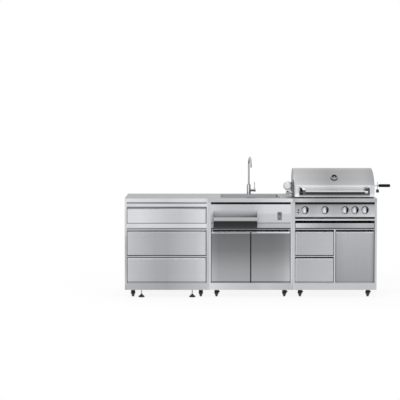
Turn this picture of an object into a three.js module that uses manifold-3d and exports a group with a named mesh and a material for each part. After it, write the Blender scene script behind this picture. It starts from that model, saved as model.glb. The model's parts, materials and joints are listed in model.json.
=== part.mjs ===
// Outdoor kitchen island: three butted stainless cabinets on casters. From left to right they are
// a drawer cabinet, a sink cabinet and a grill cabinet.
// Millimetres, +Z up. The fronts face -Y and +X runs to the right. The origin is under the middle
// of the whole island, on the floor.

import * as THREE from 'three';
import { mergeVertices } from 'three/addons/utils/BufferGeometryUtils.js';
import Module from 'manifold-3d';

const wasm = await Module();
wasm.setup();

// Cabinet sizes
const cabinetWidth = 800;
const cabinetDepth = 600;
const counterHeight = 950;
const counterThickness = 36;
const counterOverhang = 4;
const casterHeight = 75;
const plinthHeight = 67;
const stileWidth = 21;
const stileDepth = 20;
const sheet = 2;
const fitGap = 0.3;
const overrun = 5;

// Heights on the fronts, from the plinth up
const reveal = 8;
const topFaceHeight = 138;
const fingerGap = 17;
const railHeight = 9;
const grooveHeight = 9;
const grooveDepth = 8;
const bandHeight = 42;
const bandStep = 6;
const headRailHeight = 27;
const headGap = 16;
const sideGap = 5;

// Folded front panels, drawer boxes and runners
const bevel = 10;
const lipDrop = 12;
const frontDepth = 20;
const fingerRoom = 42;
const boxFromBack = 80;
const boxInset = 14;
const boxLift = 12;
const memberWidth = 9;
const memberHeight = 12;
const memberLift = 30;
const runnerHeight = 10;
const runnerFromBack = 40;
const dividerWidth = 15;
const dividerShift = 0.5;

// Door pivots
const pivotInset = 8;
const pivotDepth = 6;
const pivotRadius = 3;
const pivotReach = 5;

// Casters and levelling feet
const casterInset = 75;
const casterFromFront = 70;
const casterFromBack = 110;
const wheelRadius = 25;
const wheelWidth = 18;
const wheelSideGap = 1;
const axleRadius = 3;
const axleLength = 24;
const hoodWidth = 43;
const hoodGap = 2;
const hoodWall = 7;
const hoodFoot = 21;
const hoodShoulder = 50;
const legWidth = 27;
const legTop = 42;
const neckRadius = 20;
const neckFoot = 52;
const trail = 14;
const collarRadius = 21.5;
const collarHeight = 4;
const stemRadius = 5.5;
const stemHeight = 22;
const brakeReach = 10;
const brakeLength = 26;
const brakeRoot = 11;
const brakeHeight = 47;
const brakeTip = 13;
const channelWidth = 195;
const footInset = 157;
const footFromFront = 50;
const footRadius = 30;
const footNeck = 9;
const footConeHeight = 28;
const footRim = 8;
const footStemTop = 112;

// Sink, drain and faucet
const bowlFromSide = 126;
const bowlFromBack = 126;
const bowlDepth = 190;
const bowlFromFront = 138;
const bowlCorner = 22;
const bowlRim = 14;
const drainRadius = 45;
const drainRecess = 12;
const strainerFlange = 41;
const strainerRadius = 30;
const strainerDepth = 34;
const tailRadius = 20;
const tailLength = 90;
const faucetFromBack = 70;
const faucetFlangeRadius = 27;
const faucetFlangeHeight = 6;
const faucetBodyRadius = 20.5;
const faucetBodyHeight = 95;
const spoutRadius = 9.35;
const spoutSocket = 22;
const spoutTop = 377;
const spoutReach = 156;
const spoutOutletHeight = 272;
const spoutTurnDegrees = 6;
const spoutCollarRadius = 14;
const spoutCollarHeight = 9;
const valveHeight = 40;
const valveRadius = 13;
const valveLength = 46;
const leverCapRadius = 15;
const leverCapLength = 22;
const leverStemRadius = 5;
const leverTop = 122;

// Bottle rail and bottle opener on the sink front
const bottleRailLeft = 46;
const bottleRailFromRight = 342;
const bottleRailReach = 95;
const bottleRailFloorDepth = 72;
const bottleRailBottomDrop = 284;
const bottleRailLipBottomDrop = 206;
const bottleRailLipTopDrop = 172;
const bottleRailBackDrop = 119;
const openerFromRight = 126;
const openerWidth = 42;
const openerDrop = 208;
const openerHeight = 78;
const openerPlate = 3;
const openerReach = 24;
const openerMouth = 14;

// Grill cabinet front
const trayFaceHeight = 45;
const ventHeight = 25;
const stripHeight = 16;
const panelGap = 20;
const panelTopGap = 21;
const panelProud = 3;
const burnerFromLeft = 117;
const burnerFromRight = 113;
const burnerCount = 4;
const knobRadius = 29;
const knobSkirt = 7;
const knobGripRadius = 23;
const knobLength = 30;
const knobPointerWidth = 8;
const knobPointerHeight = 4;
const spindleRadius = 4;
const bezelRadius = 38;
const bezelHoleRadius = 31;
const bezelSides = 12;
const bezelHeight = 4;
const knobStandOff = 1.5;
const buttonFromLeft = 53;
const igniterLift = 1;
const lightDrop = 23;
const buttonRadius = 7.5;
const buttonProud = 6;
const buttonFlange = 9.5;
const trayInset = 62;
const trayFromBack = 130;
const trayWall = 30;
const trayRim = 12;

// Firebox, burners and grates
const fireboxInset = 34;
const fireboxFront = 78;
const fireboxFromBack = 120;
const fireboxBottomLift = 32;
const fireboxFlange = 9;
const fireboxSheet = 2;
const fireboxLip = 30;
const ledgeDrop = 26;
const ledgeWidth = 16;
const grateHeight = 10;
const grateBar = 9;
const grateCount = 24;
const grateCrossBar = 8;
const burnerDrop = 112;
const burnerRadius = 15;
const manifoldRadius = 11;
const manifoldDepth = 48;
const valveWidth = 26;
const valveFront = 26;
const warmingInset = 60;
const warmingDepth = 134;
const warmingFromBack = 148;
const warmingHeight = 152;
const warmingBar = 5;
const warmingCount = 7;
const warmingFoot = 40;

// Lid
const lidInset = 20;
const lidLift = 8;
const lidFront = 25;
const lidSteep = 120;
const lidLeanDegrees = 25;
const lidTop = 272;
const lidTopFromBack = 285;
const lidFromBack = 65;
const lidBackSteep = 150;
const lidSheet = 2;
const hingeFromBack = 100;
const hingeLift = 40;
const hingePinRadius = 5;
const hingePinLength = 22;
const lidBackEdgeLift = 20;
const lidBackNotch = 8;
const earHalf = 12;
const earTop = 13;
const gaugeHeight = 193;
const gaugeRadius = 36.5;
const gaugeThickness = 14;
const gaugeStemRadius = 5;
const gaugeStemLength = 60;
const gaugeSeat = 3.2;
const handleBarRadius = 16;
const handleLift = 60;
const handleReach = 46;
const handleEndLeft = 66;
const handleEndWidth = 52;
const handleEndHeight = 79;
const handleEndThickness = 14;

// Rotisserie
const spitLift = 104;
const spitDepth = 250;
const spitRadius = 5;
const spitSlotHalf = 13;
const spitCradleHalf = 18;
const spitOverhang = 160;
const spitHandleLength = 113;
const spitHandleRadius = 15;
const spitHandleNeck = 9;
const spitCollarRadius = 12;
const spitCollarLength = 10;
const forkInset = 250;
const forkCollarRadius = 11;
const forkCollarLength = 24;
const forkSpan = 52;
const forkProngLength = 90;
const forkBar = 6;
const counterweightFromSide = 38;
const counterRodRadius = 3;
const counterRodUp = 35;
const counterRodDown = 52;
const counterweightWidth = 25;
const counterweightHeight = 30;
const counterHubRadius = 10;
const counterHubLength = 9;
const motorLeft = 76;
const motorRight = 8;
const motorRadius = 42;
const motorNeckWidth = 36;
const motorFoot = 28;
const motorDepth = 62;
const motorPlateWidth = 90;
const motorPlateLeft = 9;
const motorPlateTop = 160;

// Counts of sides on round pieces
const roundSides = 16;
const smallSides = 8;
const hoodSteps = 6;
const archSteps = 12;
const lidSteps = 14;
const cornerSteps = 3;

// Places worked out from the sizes
const underTop = counterHeight - counterThickness;
const plinthTop = casterHeight + plinthHeight;
const headRailTop = underTop - headGap;
const headRailBottom = headRailTop - headRailHeight;
const bandTop = headRailBottom - fingerGap - topFaceHeight - bandStep;
const bandBottom = bandTop - bandHeight;
const beltTop = bandBottom - grooveHeight;
const beltBottom = beltTop - railHeight;
const faceHeight = (beltBottom - plinthTop - railHeight) / 2 - reveal - fingerGap;
const lowerBottom = plinthTop + reveal;
const lowerTop = lowerBottom + faceHeight;
const railBottom = lowerTop + fingerGap;
const railTop = railBottom + railHeight;
const middleBottom = railTop + reveal;
const middleTop = middleBottom + faceHeight;
const faceLeft = stileWidth + sideGap;
const faceRight = cabinetWidth - faceLeft;
const trayTop = bandBottom + trayFaceHeight;
const stripBottom = trayTop + ventHeight;
const stripTop = stripBottom + stripHeight;
const panelBottom = stripTop + panelGap;
const panelTop = underTop - panelTopGap;
const burnerHeight = counterHeight - burnerDrop;
const knobHeight = burnerHeight;
const gridStep = cabinetWidth + fitGap;
const islandWidth = cabinetWidth + 2 * gridStep;
const hingeHeight = counterHeight + hingeLift;
const spitHeight = counterHeight + spitLift;
const lidLeft = lidInset;
const lidRight = cabinetWidth - lidInset;
const lidBack = cabinetDepth - lidFromBack;
const hingeDepth = cabinetDepth - hingeFromBack;
const fireboxLeft = fireboxInset;
const fireboxRight = cabinetWidth - fireboxInset;
const fireboxBack = cabinetDepth - fireboxFromBack;
const dividerLeft = (cabinetWidth - dividerWidth) / 2 - dividerShift;
const faucetFromFront = cabinetDepth - faucetFromBack;
const burnerStep = (cabinetWidth - burnerFromLeft - burnerFromRight) / (burnerCount - 1);
const burnerPlaces = Array.from({ length: burnerCount }, (_, index) => burnerFromLeft + index * burnerStep);
const [firstPlace, secondPlace, thirdPlace, lastPlace] = burnerPlaces;
const knobPlaces = [firstPlace, secondPlace, thirdPlace, (thirdPlace + lastPlace) / 2, lastPlace];

// Finishes
function finish(color, roughness, metalness) {
  return new THREE.MeshStandardMaterial({ color, roughness, metalness });
}
const brushed = finish(0xc4c6c8, 0.38, 0.9);
const brushedDark = finish(0xa4a6aa, 0.42, 0.9);
const chromed = finish(0xdcdee0, 0.12, 1.0);
const castIron = finish(0x2a2a2c, 0.75, 0.4);
const blackPlastic = finish(0x141415, 0.5, 0.0);
const wheelRubber = finish(0x1c1c1d, 0.8, 0.0);
const motorGrey = finish(0xd8dad8, 0.35, 0.5);

// Solids from three.js shapes, joined and cut as closed bodies
function solidOf(geometry) {
  const bare = geometry.clone();
  bare.deleteAttribute('normal');
  bare.deleteAttribute('uv');
  const merged = mergeVertices(bare);
  const mesh = new wasm.Mesh({
    numProp: 3,
    vertProperties: new Float32Array(merged.attributes.position.array),
    triVerts: new Uint32Array(merged.index.array),
  });
  return new wasm.Manifold(mesh);
}

function geometryOf(solid) {
  const mesh = solid.asOriginal().simplify().getMesh();
  const geometry = new THREE.BufferGeometry();
  geometry.setAttribute('position', new THREE.BufferAttribute(new Float32Array(mesh.vertProperties), 3));
  geometry.setIndex(new THREE.BufferAttribute(new Uint32Array(mesh.triVerts), 1));
  return geometry;
}

// Joins solids one after another, tidying flat faces that have run together
function join(...solids) {
  return solids.reduce((whole, added) => whole.add(added).asOriginal().simplify());
}

// Radius of a faceted hole whose flats clear a shaft of the given radius
function boreFor(shaftRadius, sides = smallSides) {
  return (shaftRadius + fitGap) / Math.cos(Math.PI / sides);
}

// Moves each vertex to the place that a rule gives for it, so that faces meant to meet lie exactly
// at the same value
function placed(geometry, rule) {
  const position = geometry.attributes.position;
  for (let i = 0; i < position.count; i += 1) {
    position.setXYZ(i, ...rule(position.getX(i), position.getY(i), position.getZ(i)));
  }
  return solidOf(geometry);
}

function block(x0, x1, y0, y1, z0, z1) {
  const unitCube = new THREE.BoxGeometry(1, 1, 1);
  return placed(unitCube, (x, y, z) => [x > 0 ? x1 : x0, y > 0 ? y1 : y0, z > 0 ? z1 : z0]);
}

function rodX(radius, x0, x1, y, z, sides = smallSides) {
  const unitRod = new THREE.CylinderGeometry(1, 1, 1, sides);
  return placed(unitRod, (a, t, b) => [t > 0 ? x1 : x0, y + radius * b, z + radius * a]);
}

function rodY(radius, y0, y1, x, z, sides = smallSides) {
  const unitRod = new THREE.CylinderGeometry(1, 1, 1, sides);
  return placed(unitRod, (a, t, b) => [x + radius * a, t > 0 ? y1 : y0, z + radius * b]);
}

function rodZ(radius, z0, z1, x, y, sides = smallSides) {
  const unitRod = new THREE.CylinderGeometry(1, 1, 1, sides);
  return placed(unitRod, (a, t, b) => [x + radius * b, y + radius * a, t > 0 ? z1 : z0]);
}

function outline(points) {
  return new THREE.Shape(points.map(([a, b]) => new THREE.Vector2(a, b)));
}

function slab(points) {
  return new THREE.ExtrudeGeometry(outline(points), { depth: 1, bevelEnabled: false });
}

// A side outline, given as y and z, extruded along X
function prismX(points, x0, x1) {
  return placed(slab(points), (a, b, t) => [t > 0 ? x1 : x0, a, b]);
}

// A front outline, given as x and z, extruded along Y
function prismY(points, y0, y1) {
  return placed(slab(points), (a, b, t) => [a, t > 0 ? y0 : y1, b]);
}

// A plan outline, given as x and y, extruded along Z
function prismZ(points, z0, z1) {
  return placed(slab(points), (a, b, t) => [a, b, t > 0 ? z1 : z0]);
}

// A turned piece: profile points are radius and distance along the axis
function turned(profile, sides) {
  const points = profile.map(([radius, along]) => new THREE.Vector2(radius, along));
  return new THREE.LatheGeometry(points, sides);
}

function arc(centreA, centreB, radiusA, radiusB, fromDegrees, toDegrees, steps) {
  const points = [];
  for (let i = 0; i <= steps; i += 1) {
    const angle = THREE.MathUtils.degToRad(fromDegrees + ((toDegrees - fromDegrees) * i) / steps);
    points.push([centreA + radiusA * Math.cos(angle), centreB + radiusB * Math.sin(angle)]);
  }
  return points;
}

function roundedPlan(x0, x1, y0, y1, radius) {
  return [
    ...arc(x0 + radius, y0 + radius, radius, radius, 180, 270, cornerSteps),
    ...arc(x1 - radius, y0 + radius, radius, radius, 270, 360, cornerSteps),
    ...arc(x1 - radius, y1 - radius, radius, radius, 0, 90, cornerSteps),
    ...arc(x0 + radius, y1 - radius, radius, radius, 90, 180, cornerSteps),
  ];
}

function piece(name, solid, material, group, place = [0, 0, 0]) {
  const geometry = solid.isBufferGeometry ? solid : geometryOf(solid);
  const mesh = new THREE.Mesh(geometry, material);
  mesh.name = name;
  mesh.position.set(...place);
  group.add(mesh);
  return mesh;
}

const island = new THREE.Group();
const cabinetGroups = [0, 1, 2].map((index) => {
  const group = new THREE.Group();
  group.position.set(index * gridStep, 0, 0);
  island.add(group);
  return group;
});
const [drawerSide, sinkSide, grillSide] = cabinetGroups;

// Caster hood over a wheel whose axle is at the origin height of the wheel radius.
// The hood is a domed cover on two narrower legs, with a slot for the wheel and blind holes for the
// axle.
function casterHood(centreX, centreY) {
  const outer = wheelRadius + hoodGap + hoodWall;
  const side = prismX(
    [
      ...arc(centreY, wheelRadius, outer, outer, 0, 180, hoodSteps),
      [centreY - outer, hoodFoot],
      [centreY + outer, hoodFoot],
    ],
    centreX - hoodWidth / 2,
    centreX + hoodWidth / 2,
  );
  const front = prismY(
    [
      ...arc(centreX, hoodShoulder, hoodWidth / 2, hoodWidth / 2, 0, 180, hoodSteps),
      [centreX - legWidth / 2, legTop],
      [centreX - legWidth / 2, hoodFoot],
      [centreX + legWidth / 2, hoodFoot],
      [centreX + legWidth / 2, legTop],
    ],
    centreY - outer - overrun,
    centreY + outer + overrun,
  );
  const slotHalf = wheelWidth / 2 + wheelSideGap;
  const slotRadius = wheelRadius + hoodGap;
  const slot = rodX(slotRadius, centreX - slotHalf, centreX + slotHalf, centreY, wheelRadius, roundSides);
  const axleHalf = axleLength / 2 + fitGap;
  const axleHole = rodX(boreFor(axleRadius), centreX - axleHalf, centreX + axleHalf, centreY, wheelRadius);
  return side.intersect(front).subtract(slot).subtract(axleHole);
}

// Wheel with its axle, turned about X
function casterWheel() {
  return join(
    rodX(wheelRadius, -wheelWidth / 2, wheelWidth / 2, 0, 0, roundSides),
    rodX(axleRadius, -axleLength / 2, axleLength / 2, 0, 0),
  );
}

// Swivel fork of a front caster: hood, neck, bearing collar and stem, with its brake tab.
// The stem is the swivel axis and stands at the local origin.
function casterFork(withBrake) {
  const collarTop = casterHeight - fitGap;
  const pieces = [
    casterHood(0, trail),
    rodZ(neckRadius, neckFoot, collarTop, 0, 0, roundSides),
    rodZ(collarRadius, collarTop - collarHeight, collarTop, 0, 0, roundSides),
    rodZ(stemRadius, collarTop - collarHeight, casterHeight + stemHeight, 0, 0),
  ];
  if (withBrake) {
    pieces.push(
      prismY(
        [
          [brakeRoot, brakeHeight + brakeLength / 2],
          [brakeRoot, brakeHeight - brakeLength / 2],
          [hoodWidth / 2 + brakeReach, brakeHeight - brakeTip / 2],
          [hoodWidth / 2 + brakeReach, brakeHeight + brakeTip / 2],
        ],
        trail - brakeLength / 2,
        trail + brakeLength / 2,
      ),
    );
  }
  const slotHalf = wheelWidth / 2 + wheelSideGap;
  const slot = rodX(wheelRadius + hoodGap, -slotHalf, slotHalf, trail, wheelRadius, roundSides);
  return join(...pieces).subtract(slot);
}

const casterXs = [casterInset, cabinetWidth - casterInset];
const casterRearY = cabinetDepth - casterFromBack;

// Rigid rear caster: hood, neck and plate, fixed under the base channel
function rearCaster(x) {
  return join(
    casterHood(x, casterRearY),
    rodZ(neckRadius, neckFoot, casterHeight + sheet, x, casterRearY, roundSides),
    rodZ(collarRadius, casterHeight - collarHeight, casterHeight + sheet, x, casterRearY, roundSides),
  ).subtract(
    rodX(
      wheelRadius + hoodGap,
      x - wheelWidth / 2 - wheelSideGap,
      x + wheelWidth / 2 + wheelSideGap,
      casterRearY,
      wheelRadius,
      roundSides,
    ),
  );
}

// Open folded carcass shared by the three cabinets: sides with folded stiles, back, floor, plinth,
// base channels with the rear casters, and a top rail
function carcass() {
  const bodyTop = underTop - fitGap;
  const pieces = [
    block(0, cabinetWidth, cabinetDepth - sheet, cabinetDepth, casterHeight, bodyTop),
    block(0, cabinetWidth, 0, cabinetDepth, plinthTop - sheet, plinthTop),
    block(0, cabinetWidth, 0, sheet, casterHeight, plinthTop),
    block(0, cabinetWidth, stileDepth, stileDepth + stileWidth, bodyTop - sheet, bodyTop),
    block(0, cabinetWidth, stileDepth, stileDepth + sheet, headRailTop - sheet, bodyTop),
    block(0, cabinetWidth, cabinetDepth - stileWidth, cabinetDepth, bodyTop - sheet, bodyTop),
  ];
  for (const left of [true, false]) {
    const flip = (x) => (left ? x : cabinetWidth - x);
    const span = (a, b) => (left ? [a, b] : [flip(b), flip(a)]);
    pieces.push(block(...span(0, sheet), 0, cabinetDepth, casterHeight, bodyTop));
    pieces.push(block(...span(0, stileWidth), 0, sheet, casterHeight, bodyTop));
    pieces.push(block(...span(stileWidth - sheet, stileWidth), 0, stileDepth + sheet, plinthTop - sheet, bodyTop));
    pieces.push(block(...span(0, channelWidth), 0, cabinetDepth, casterHeight, casterHeight + sheet));
    pieces.push(rearCaster(flip(casterInset)));
  }
  let whole = join(...pieces);
  for (const x of casterXs) {
    whole = whole.subtract(
      rodZ(boreFor(stemRadius), casterHeight - overrun, casterHeight + overrun, x, casterFromFront),
    );
  }
  return whole;
}

// Cross rail between the stiles, from the front plane back to the stile depth
function crossRail(bottom, top, front = 0) {
  return block(sheet / 2, cabinetWidth - sheet / 2, front, stileDepth, bottom, top);
}

// Belt below the top row: a strip, a groove and a band
function belt() {
  const groove = block(stileWidth, cabinetWidth - stileWidth, -overrun, grooveDepth, beltTop, bandBottom);
  return crossRail(beltBottom, bandTop).subtract(groove);
}

// Runner ledge for a drawer member, on the wall at one side of a bay
function runner(x0, x1, memberBottom) {
  const top = memberBottom - fitGap;
  return block(x0, x1, stileDepth + stileWidth, cabinetDepth - runnerFromBack, top - runnerHeight, top);
}

// Folded front: skin, bevelled top edge with a turned-down lip, side returns and bottom return
function foldedFront(x0, x1, z0, z1) {
  const profile = [
    [frontDepth, z0],
    [frontDepth, z0 + sheet],
    [sheet, z0 + sheet],
    [sheet, z1 - bevel - sheet / 2],
    [bevel, z1 - sheet - sheet / 2],
    [bevel, z1 - lipDrop],
    [bevel + sheet, z1 - lipDrop],
    [bevel + sheet, z1],
    [bevel, z1],
    [0, z1 - bevel],
    [0, z0],
  ];
  const sideReturn = [
    [0, z0],
    [frontDepth, z0],
    [frontDepth, z1 - fingerRoom],
    [bevel + sheet, z1 - lipDrop],
    [bevel, z1],
    [0, z1 - bevel],
  ];
  return join(
    prismX(profile, x0, x1),
    prismX(sideReturn, x0, x0 + sheet),
    prismX(sideReturn, x1 - sheet, x1),
  );
}

// Drawer: folded front with an open box behind it, carried by a slide member on each side
function drawer(x0, x1, z0, z1) {
  const left = x0 + boxInset;
  const right = x1 - boxInset;
  const floor = z0 + boxLift;
  const rim = z1 - fingerRoom;
  const back = cabinetDepth - boxFromBack;
  const memberBottom = z0 + memberLift;
  const member = (a, b) => block(a, b, stileDepth + stileWidth, back, memberBottom, memberBottom + memberHeight);
  return join(
    foldedFront(x0, x1, z0, z1),
    block(x0, x1, frontDepth - sheet, frontDepth, z0, rim),
    block(left, right, frontDepth - sheet, back, floor, floor + sheet),
    block(left, left + sheet, frontDepth - sheet, back, floor, rim),
    block(right - sheet, right, frontDepth - sheet, back, floor, rim),
    block(left, right, back - sheet, back, floor, rim),
    member(left - memberWidth, left + sheet),
    member(right - sheet, right + memberWidth),
  );
}

// Door: folded front with a rear liner frame, and pivot pins at the top and bottom of one edge
function door(x0, x1, z0, z1, hingedLeft) {
  const pinX = hingedLeft ? x0 + pivotInset : x1 - pivotInset;
  const bottomEnd = plinthTop - sheet - pivotReach;
  const topEnd = z1 + fingerGap + pivotReach;
  return join(
    foldedFront(x0, x1, z0, z1),
    block(x0, x1, frontDepth - sheet, frontDepth, z0, z1 - fingerRoom),
    rodZ(pivotRadius, bottomEnd, z0 + overrun, pinX, pivotDepth),
    rodZ(pivotRadius, z1 - bevel - lipDrop, topEnd, pinX, pivotDepth),
  );
}

// Holes for a door's pivot pins in the floor fold and in the rail above the door
function pivotHoles(x, doorTop) {
  const railUnderside = doorTop + fingerGap;
  return join(
    rodZ(boreFor(pivotRadius), plinthTop - sheet - overrun, plinthTop + overrun, x, pivotDepth),
    rodZ(boreFor(pivotRadius), railUnderside - overrun, railUnderside + pivotReach + fitGap, x, pivotDepth),
  );
}

// Worktop: a folded pan with an apron all round, open underneath
function worktop() {
  const front = -counterOverhang;
  return block(0, cabinetWidth, front, cabinetDepth, underTop, counterHeight).subtract(
    block(
      sheet,
      cabinetWidth - sheet,
      front + sheet,
      cabinetDepth - sheet,
      underTop - overrun,
      counterHeight - sheet,
    ),
  );
}

// Drawer cabinet
const faceRows = [
  ['drawer_bottom', lowerBottom, lowerTop],
  ['drawer_middle', middleBottom, middleTop],
  ['drawer_top', bandTop + bandStep, headRailBottom - fingerGap],
];
let drawerCarcass = join(
  carcass(),
  crossRail(railBottom, railTop),
  belt(),
  crossRail(headRailBottom, headRailTop),
);
for (const [, bottom] of faceRows) {
  const inner = faceLeft + boxInset - fitGap * 2;
  drawerCarcass = join(
    drawerCarcass,
    runner(sheet / 2, inner, bottom + memberLift),
    runner(cabinetWidth - inner, cabinetWidth - sheet / 2, bottom + memberLift),
  );
}
const footXs = [footInset, cabinetWidth - footInset];
for (const x of footXs) {
  drawerCarcass = drawerCarcass.subtract(
    rodZ(boreFor(stemRadius), casterHeight - overrun, casterHeight + overrun, x, footFromFront),
  );
}
piece('drawer_cabinet', drawerCarcass, brushed, drawerSide);
piece('drawer_worktop', worktop(), brushed, drawerSide);
for (const [name, bottom, top] of faceRows) {
  piece(name, drawer(faceLeft, faceRight, bottom, top), brushed, drawerSide);
}

// Levelling feet under the drawer cabinet: a cone pad on a threaded stem
function levellingFoot() {
  const geometry = turned(
    [
      [0, 0],
      [footRadius, 0],
      [footRadius, footRim],
      [footNeck, footConeHeight],
      [stemRadius, footConeHeight],
      [stemRadius, footStemTop],
      [0, footStemTop],
    ],
    roundSides,
  );
  geometry.rotateX(Math.PI / 2);
  return solidOf(geometry);
}
footXs.forEach((x, index) => {
  const name = ['levelling_foot_left', 'levelling_foot_right'][index];
  piece(name, levellingFoot(), blackPlastic, drawerSide, [x, footFromFront, 0]);
});

// Casters under all three cabinets
const cabinetNames = ['drawer', 'sink', 'grill'];
cabinetGroups.forEach((group, cabinetIndex) => {
  casterXs.forEach((x, sideIndex) => {
    const label = `${cabinetNames[cabinetIndex]}_${['left', 'right'][sideIndex]}`;
    const wheelY = casterFromFront + trail;
    piece(`caster_fork_${label}`, casterFork(cabinetIndex > 0), blackPlastic, group, [x, casterFromFront, 0]);
    piece(`front_wheel_${label}`, casterWheel(), wheelRubber, group, [x, wheelY, wheelRadius]);
    piece(`rear_wheel_${label}`, casterWheel(), wheelRubber, group, [x, casterRearY, wheelRadius]);
  });
});

// Sink cabinet: two doors under a fixed front panel that carries the bottle rail and the opener
const doorGap = sideGap;
const middleX = cabinetWidth / 2;
const sinkPivotXs = [faceLeft + pivotInset, faceRight - pivotInset];
const sinkPanelTop = underTop - panelTopGap;
let sinkCarcass = join(
  carcass(),
  belt(),
  crossRail(bandTop - sheet, bandTop + grooveHeight, sheet),
  crossRail(bandTop + grooveHeight, bandTop + grooveHeight + sheet),
  crossRail(sinkPanelTop - sheet, sinkPanelTop),
  block(sheet / 2, cabinetWidth - sheet / 2, 0, sheet, bandTop + grooveHeight, sinkPanelTop),
);
for (const x of sinkPivotXs) {
  sinkCarcass = sinkCarcass.subtract(pivotHoles(x, middleTop));
}
piece('sink_cabinet', sinkCarcass, brushed, sinkSide);
piece(
  'sink_door_left',
  door(faceLeft, middleX - doorGap / 2, lowerBottom, middleTop, true),
  brushedDark,
  sinkSide,
);
piece(
  'sink_door_right',
  door(middleX + doorGap / 2, faceRight, lowerBottom, middleTop, false),
  brushedDark,
  sinkSide,
);

// Sink bowl: a drop-in basin with rounded corners, its rim lying on the worktop
const bowlLeft = bowlFromSide;
const bowlRight = cabinetWidth - bowlFromSide;
const bowlBack = cabinetDepth - bowlFromBack;
const bowlMiddleY = (bowlFromFront + bowlBack) / 2;
const bowlFloor = counterHeight - bowlDepth;
function bowlPlan(grow) {
  return roundedPlan(
    bowlLeft - grow,
    bowlRight + grow,
    bowlFromFront - grow,
    bowlBack + grow,
    bowlCorner + grow,
  );
}
const rimBottom = counterHeight + fitGap;
const rimTop = rimBottom + sheet;
const bowlSolid = join(
  prismZ(bowlPlan(sheet), bowlFloor - sheet, rimTop),
  prismZ(bowlPlan(bowlRim), rimBottom, rimTop),
  rodZ(drainRadius + sheet, bowlFloor - drainRecess - sheet, bowlFloor, middleX, bowlMiddleY, roundSides),
)
  .subtract(prismZ(bowlPlan(0), bowlFloor, rimTop + overrun))
  .subtract(rodZ(drainRadius, bowlFloor - drainRecess, bowlFloor + overrun, middleX, bowlMiddleY, roundSides))
  .subtract(
    rodZ(
      boreFor(strainerRadius, roundSides),
      bowlFloor - drainRecess - sheet - overrun,
      bowlFloor,
      middleX,
      bowlMiddleY,
      roundSides,
    ),
  );
piece('sink_bowl', bowlSolid, brushedDark, sinkSide);

// Strainer basket with its tailpipe, resting on the step of the drain
const strainerTop = bowlFloor - drainRecess + fitGap + sheet;
const strainer = join(
  rodZ(strainerFlange, strainerTop - sheet, strainerTop, middleX, bowlMiddleY, roundSides),
  rodZ(strainerRadius, strainerTop - strainerDepth, strainerTop, middleX, bowlMiddleY, roundSides),
  rodZ(tailRadius, strainerTop - strainerDepth - tailLength, strainerTop - sheet, middleX, bowlMiddleY),
)
  .subtract(
    rodZ(
      strainerRadius - sheet,
      strainerTop - strainerDepth + sheet,
      strainerTop + overrun,
      middleX,
      bowlMiddleY,
      roundSides,
    ),
  )
  .subtract(
    rodZ(
      tailRadius - sheet,
      strainerTop - strainerDepth - tailLength - overrun,
      strainerTop - strainerDepth + sheet + overrun,
      middleX,
      bowlMiddleY,
    ),
  );
piece('sink_strainer', strainer, chromed, sinkSide);

const tailFoot = faucetBodyRadius - spoutRadius;
piece(
  'sink_worktop',
  worktop()
    .subtract(prismZ(bowlPlan(sheet + fitGap), counterHeight - sheet - overrun, counterHeight + overrun))
    .subtract(
      rodZ(boreFor(tailFoot), counterHeight - overrun, counterHeight + overrun, middleX, faucetFromFront),
    ),
  brushed,
  sinkSide,
);

// Faucet: a post with a side valve, an arched spout that swivels in it, and a lever on the valve
const faucetBase = counterHeight + fitGap;
const faucetPostTop = faucetBase + faucetBodyHeight;
const valveZ = counterHeight + valveHeight;
piece(
  'faucet_body',
  join(
    rodZ(faucetFlangeRadius, faucetBase, faucetBase + faucetFlangeHeight, middleX, faucetFromFront, roundSides),
    rodZ(faucetBodyRadius, faucetBase, faucetPostTop, middleX, faucetFromFront, roundSides),
    rodZ(tailFoot, underTop, faucetBase + sheet, middleX, faucetFromFront),
    rodX(valveRadius, middleX, middleX + valveLength, faucetFromFront, valveZ, roundSides),
  ).subtract(
    rodZ(
      boreFor(spoutRadius, roundSides),
      faucetPostTop - spoutSocket,
      faucetPostTop + overrun,
      middleX,
      faucetFromFront,
      roundSides,
    ),
  ),
  chromed,
  sinkSide,
);

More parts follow.
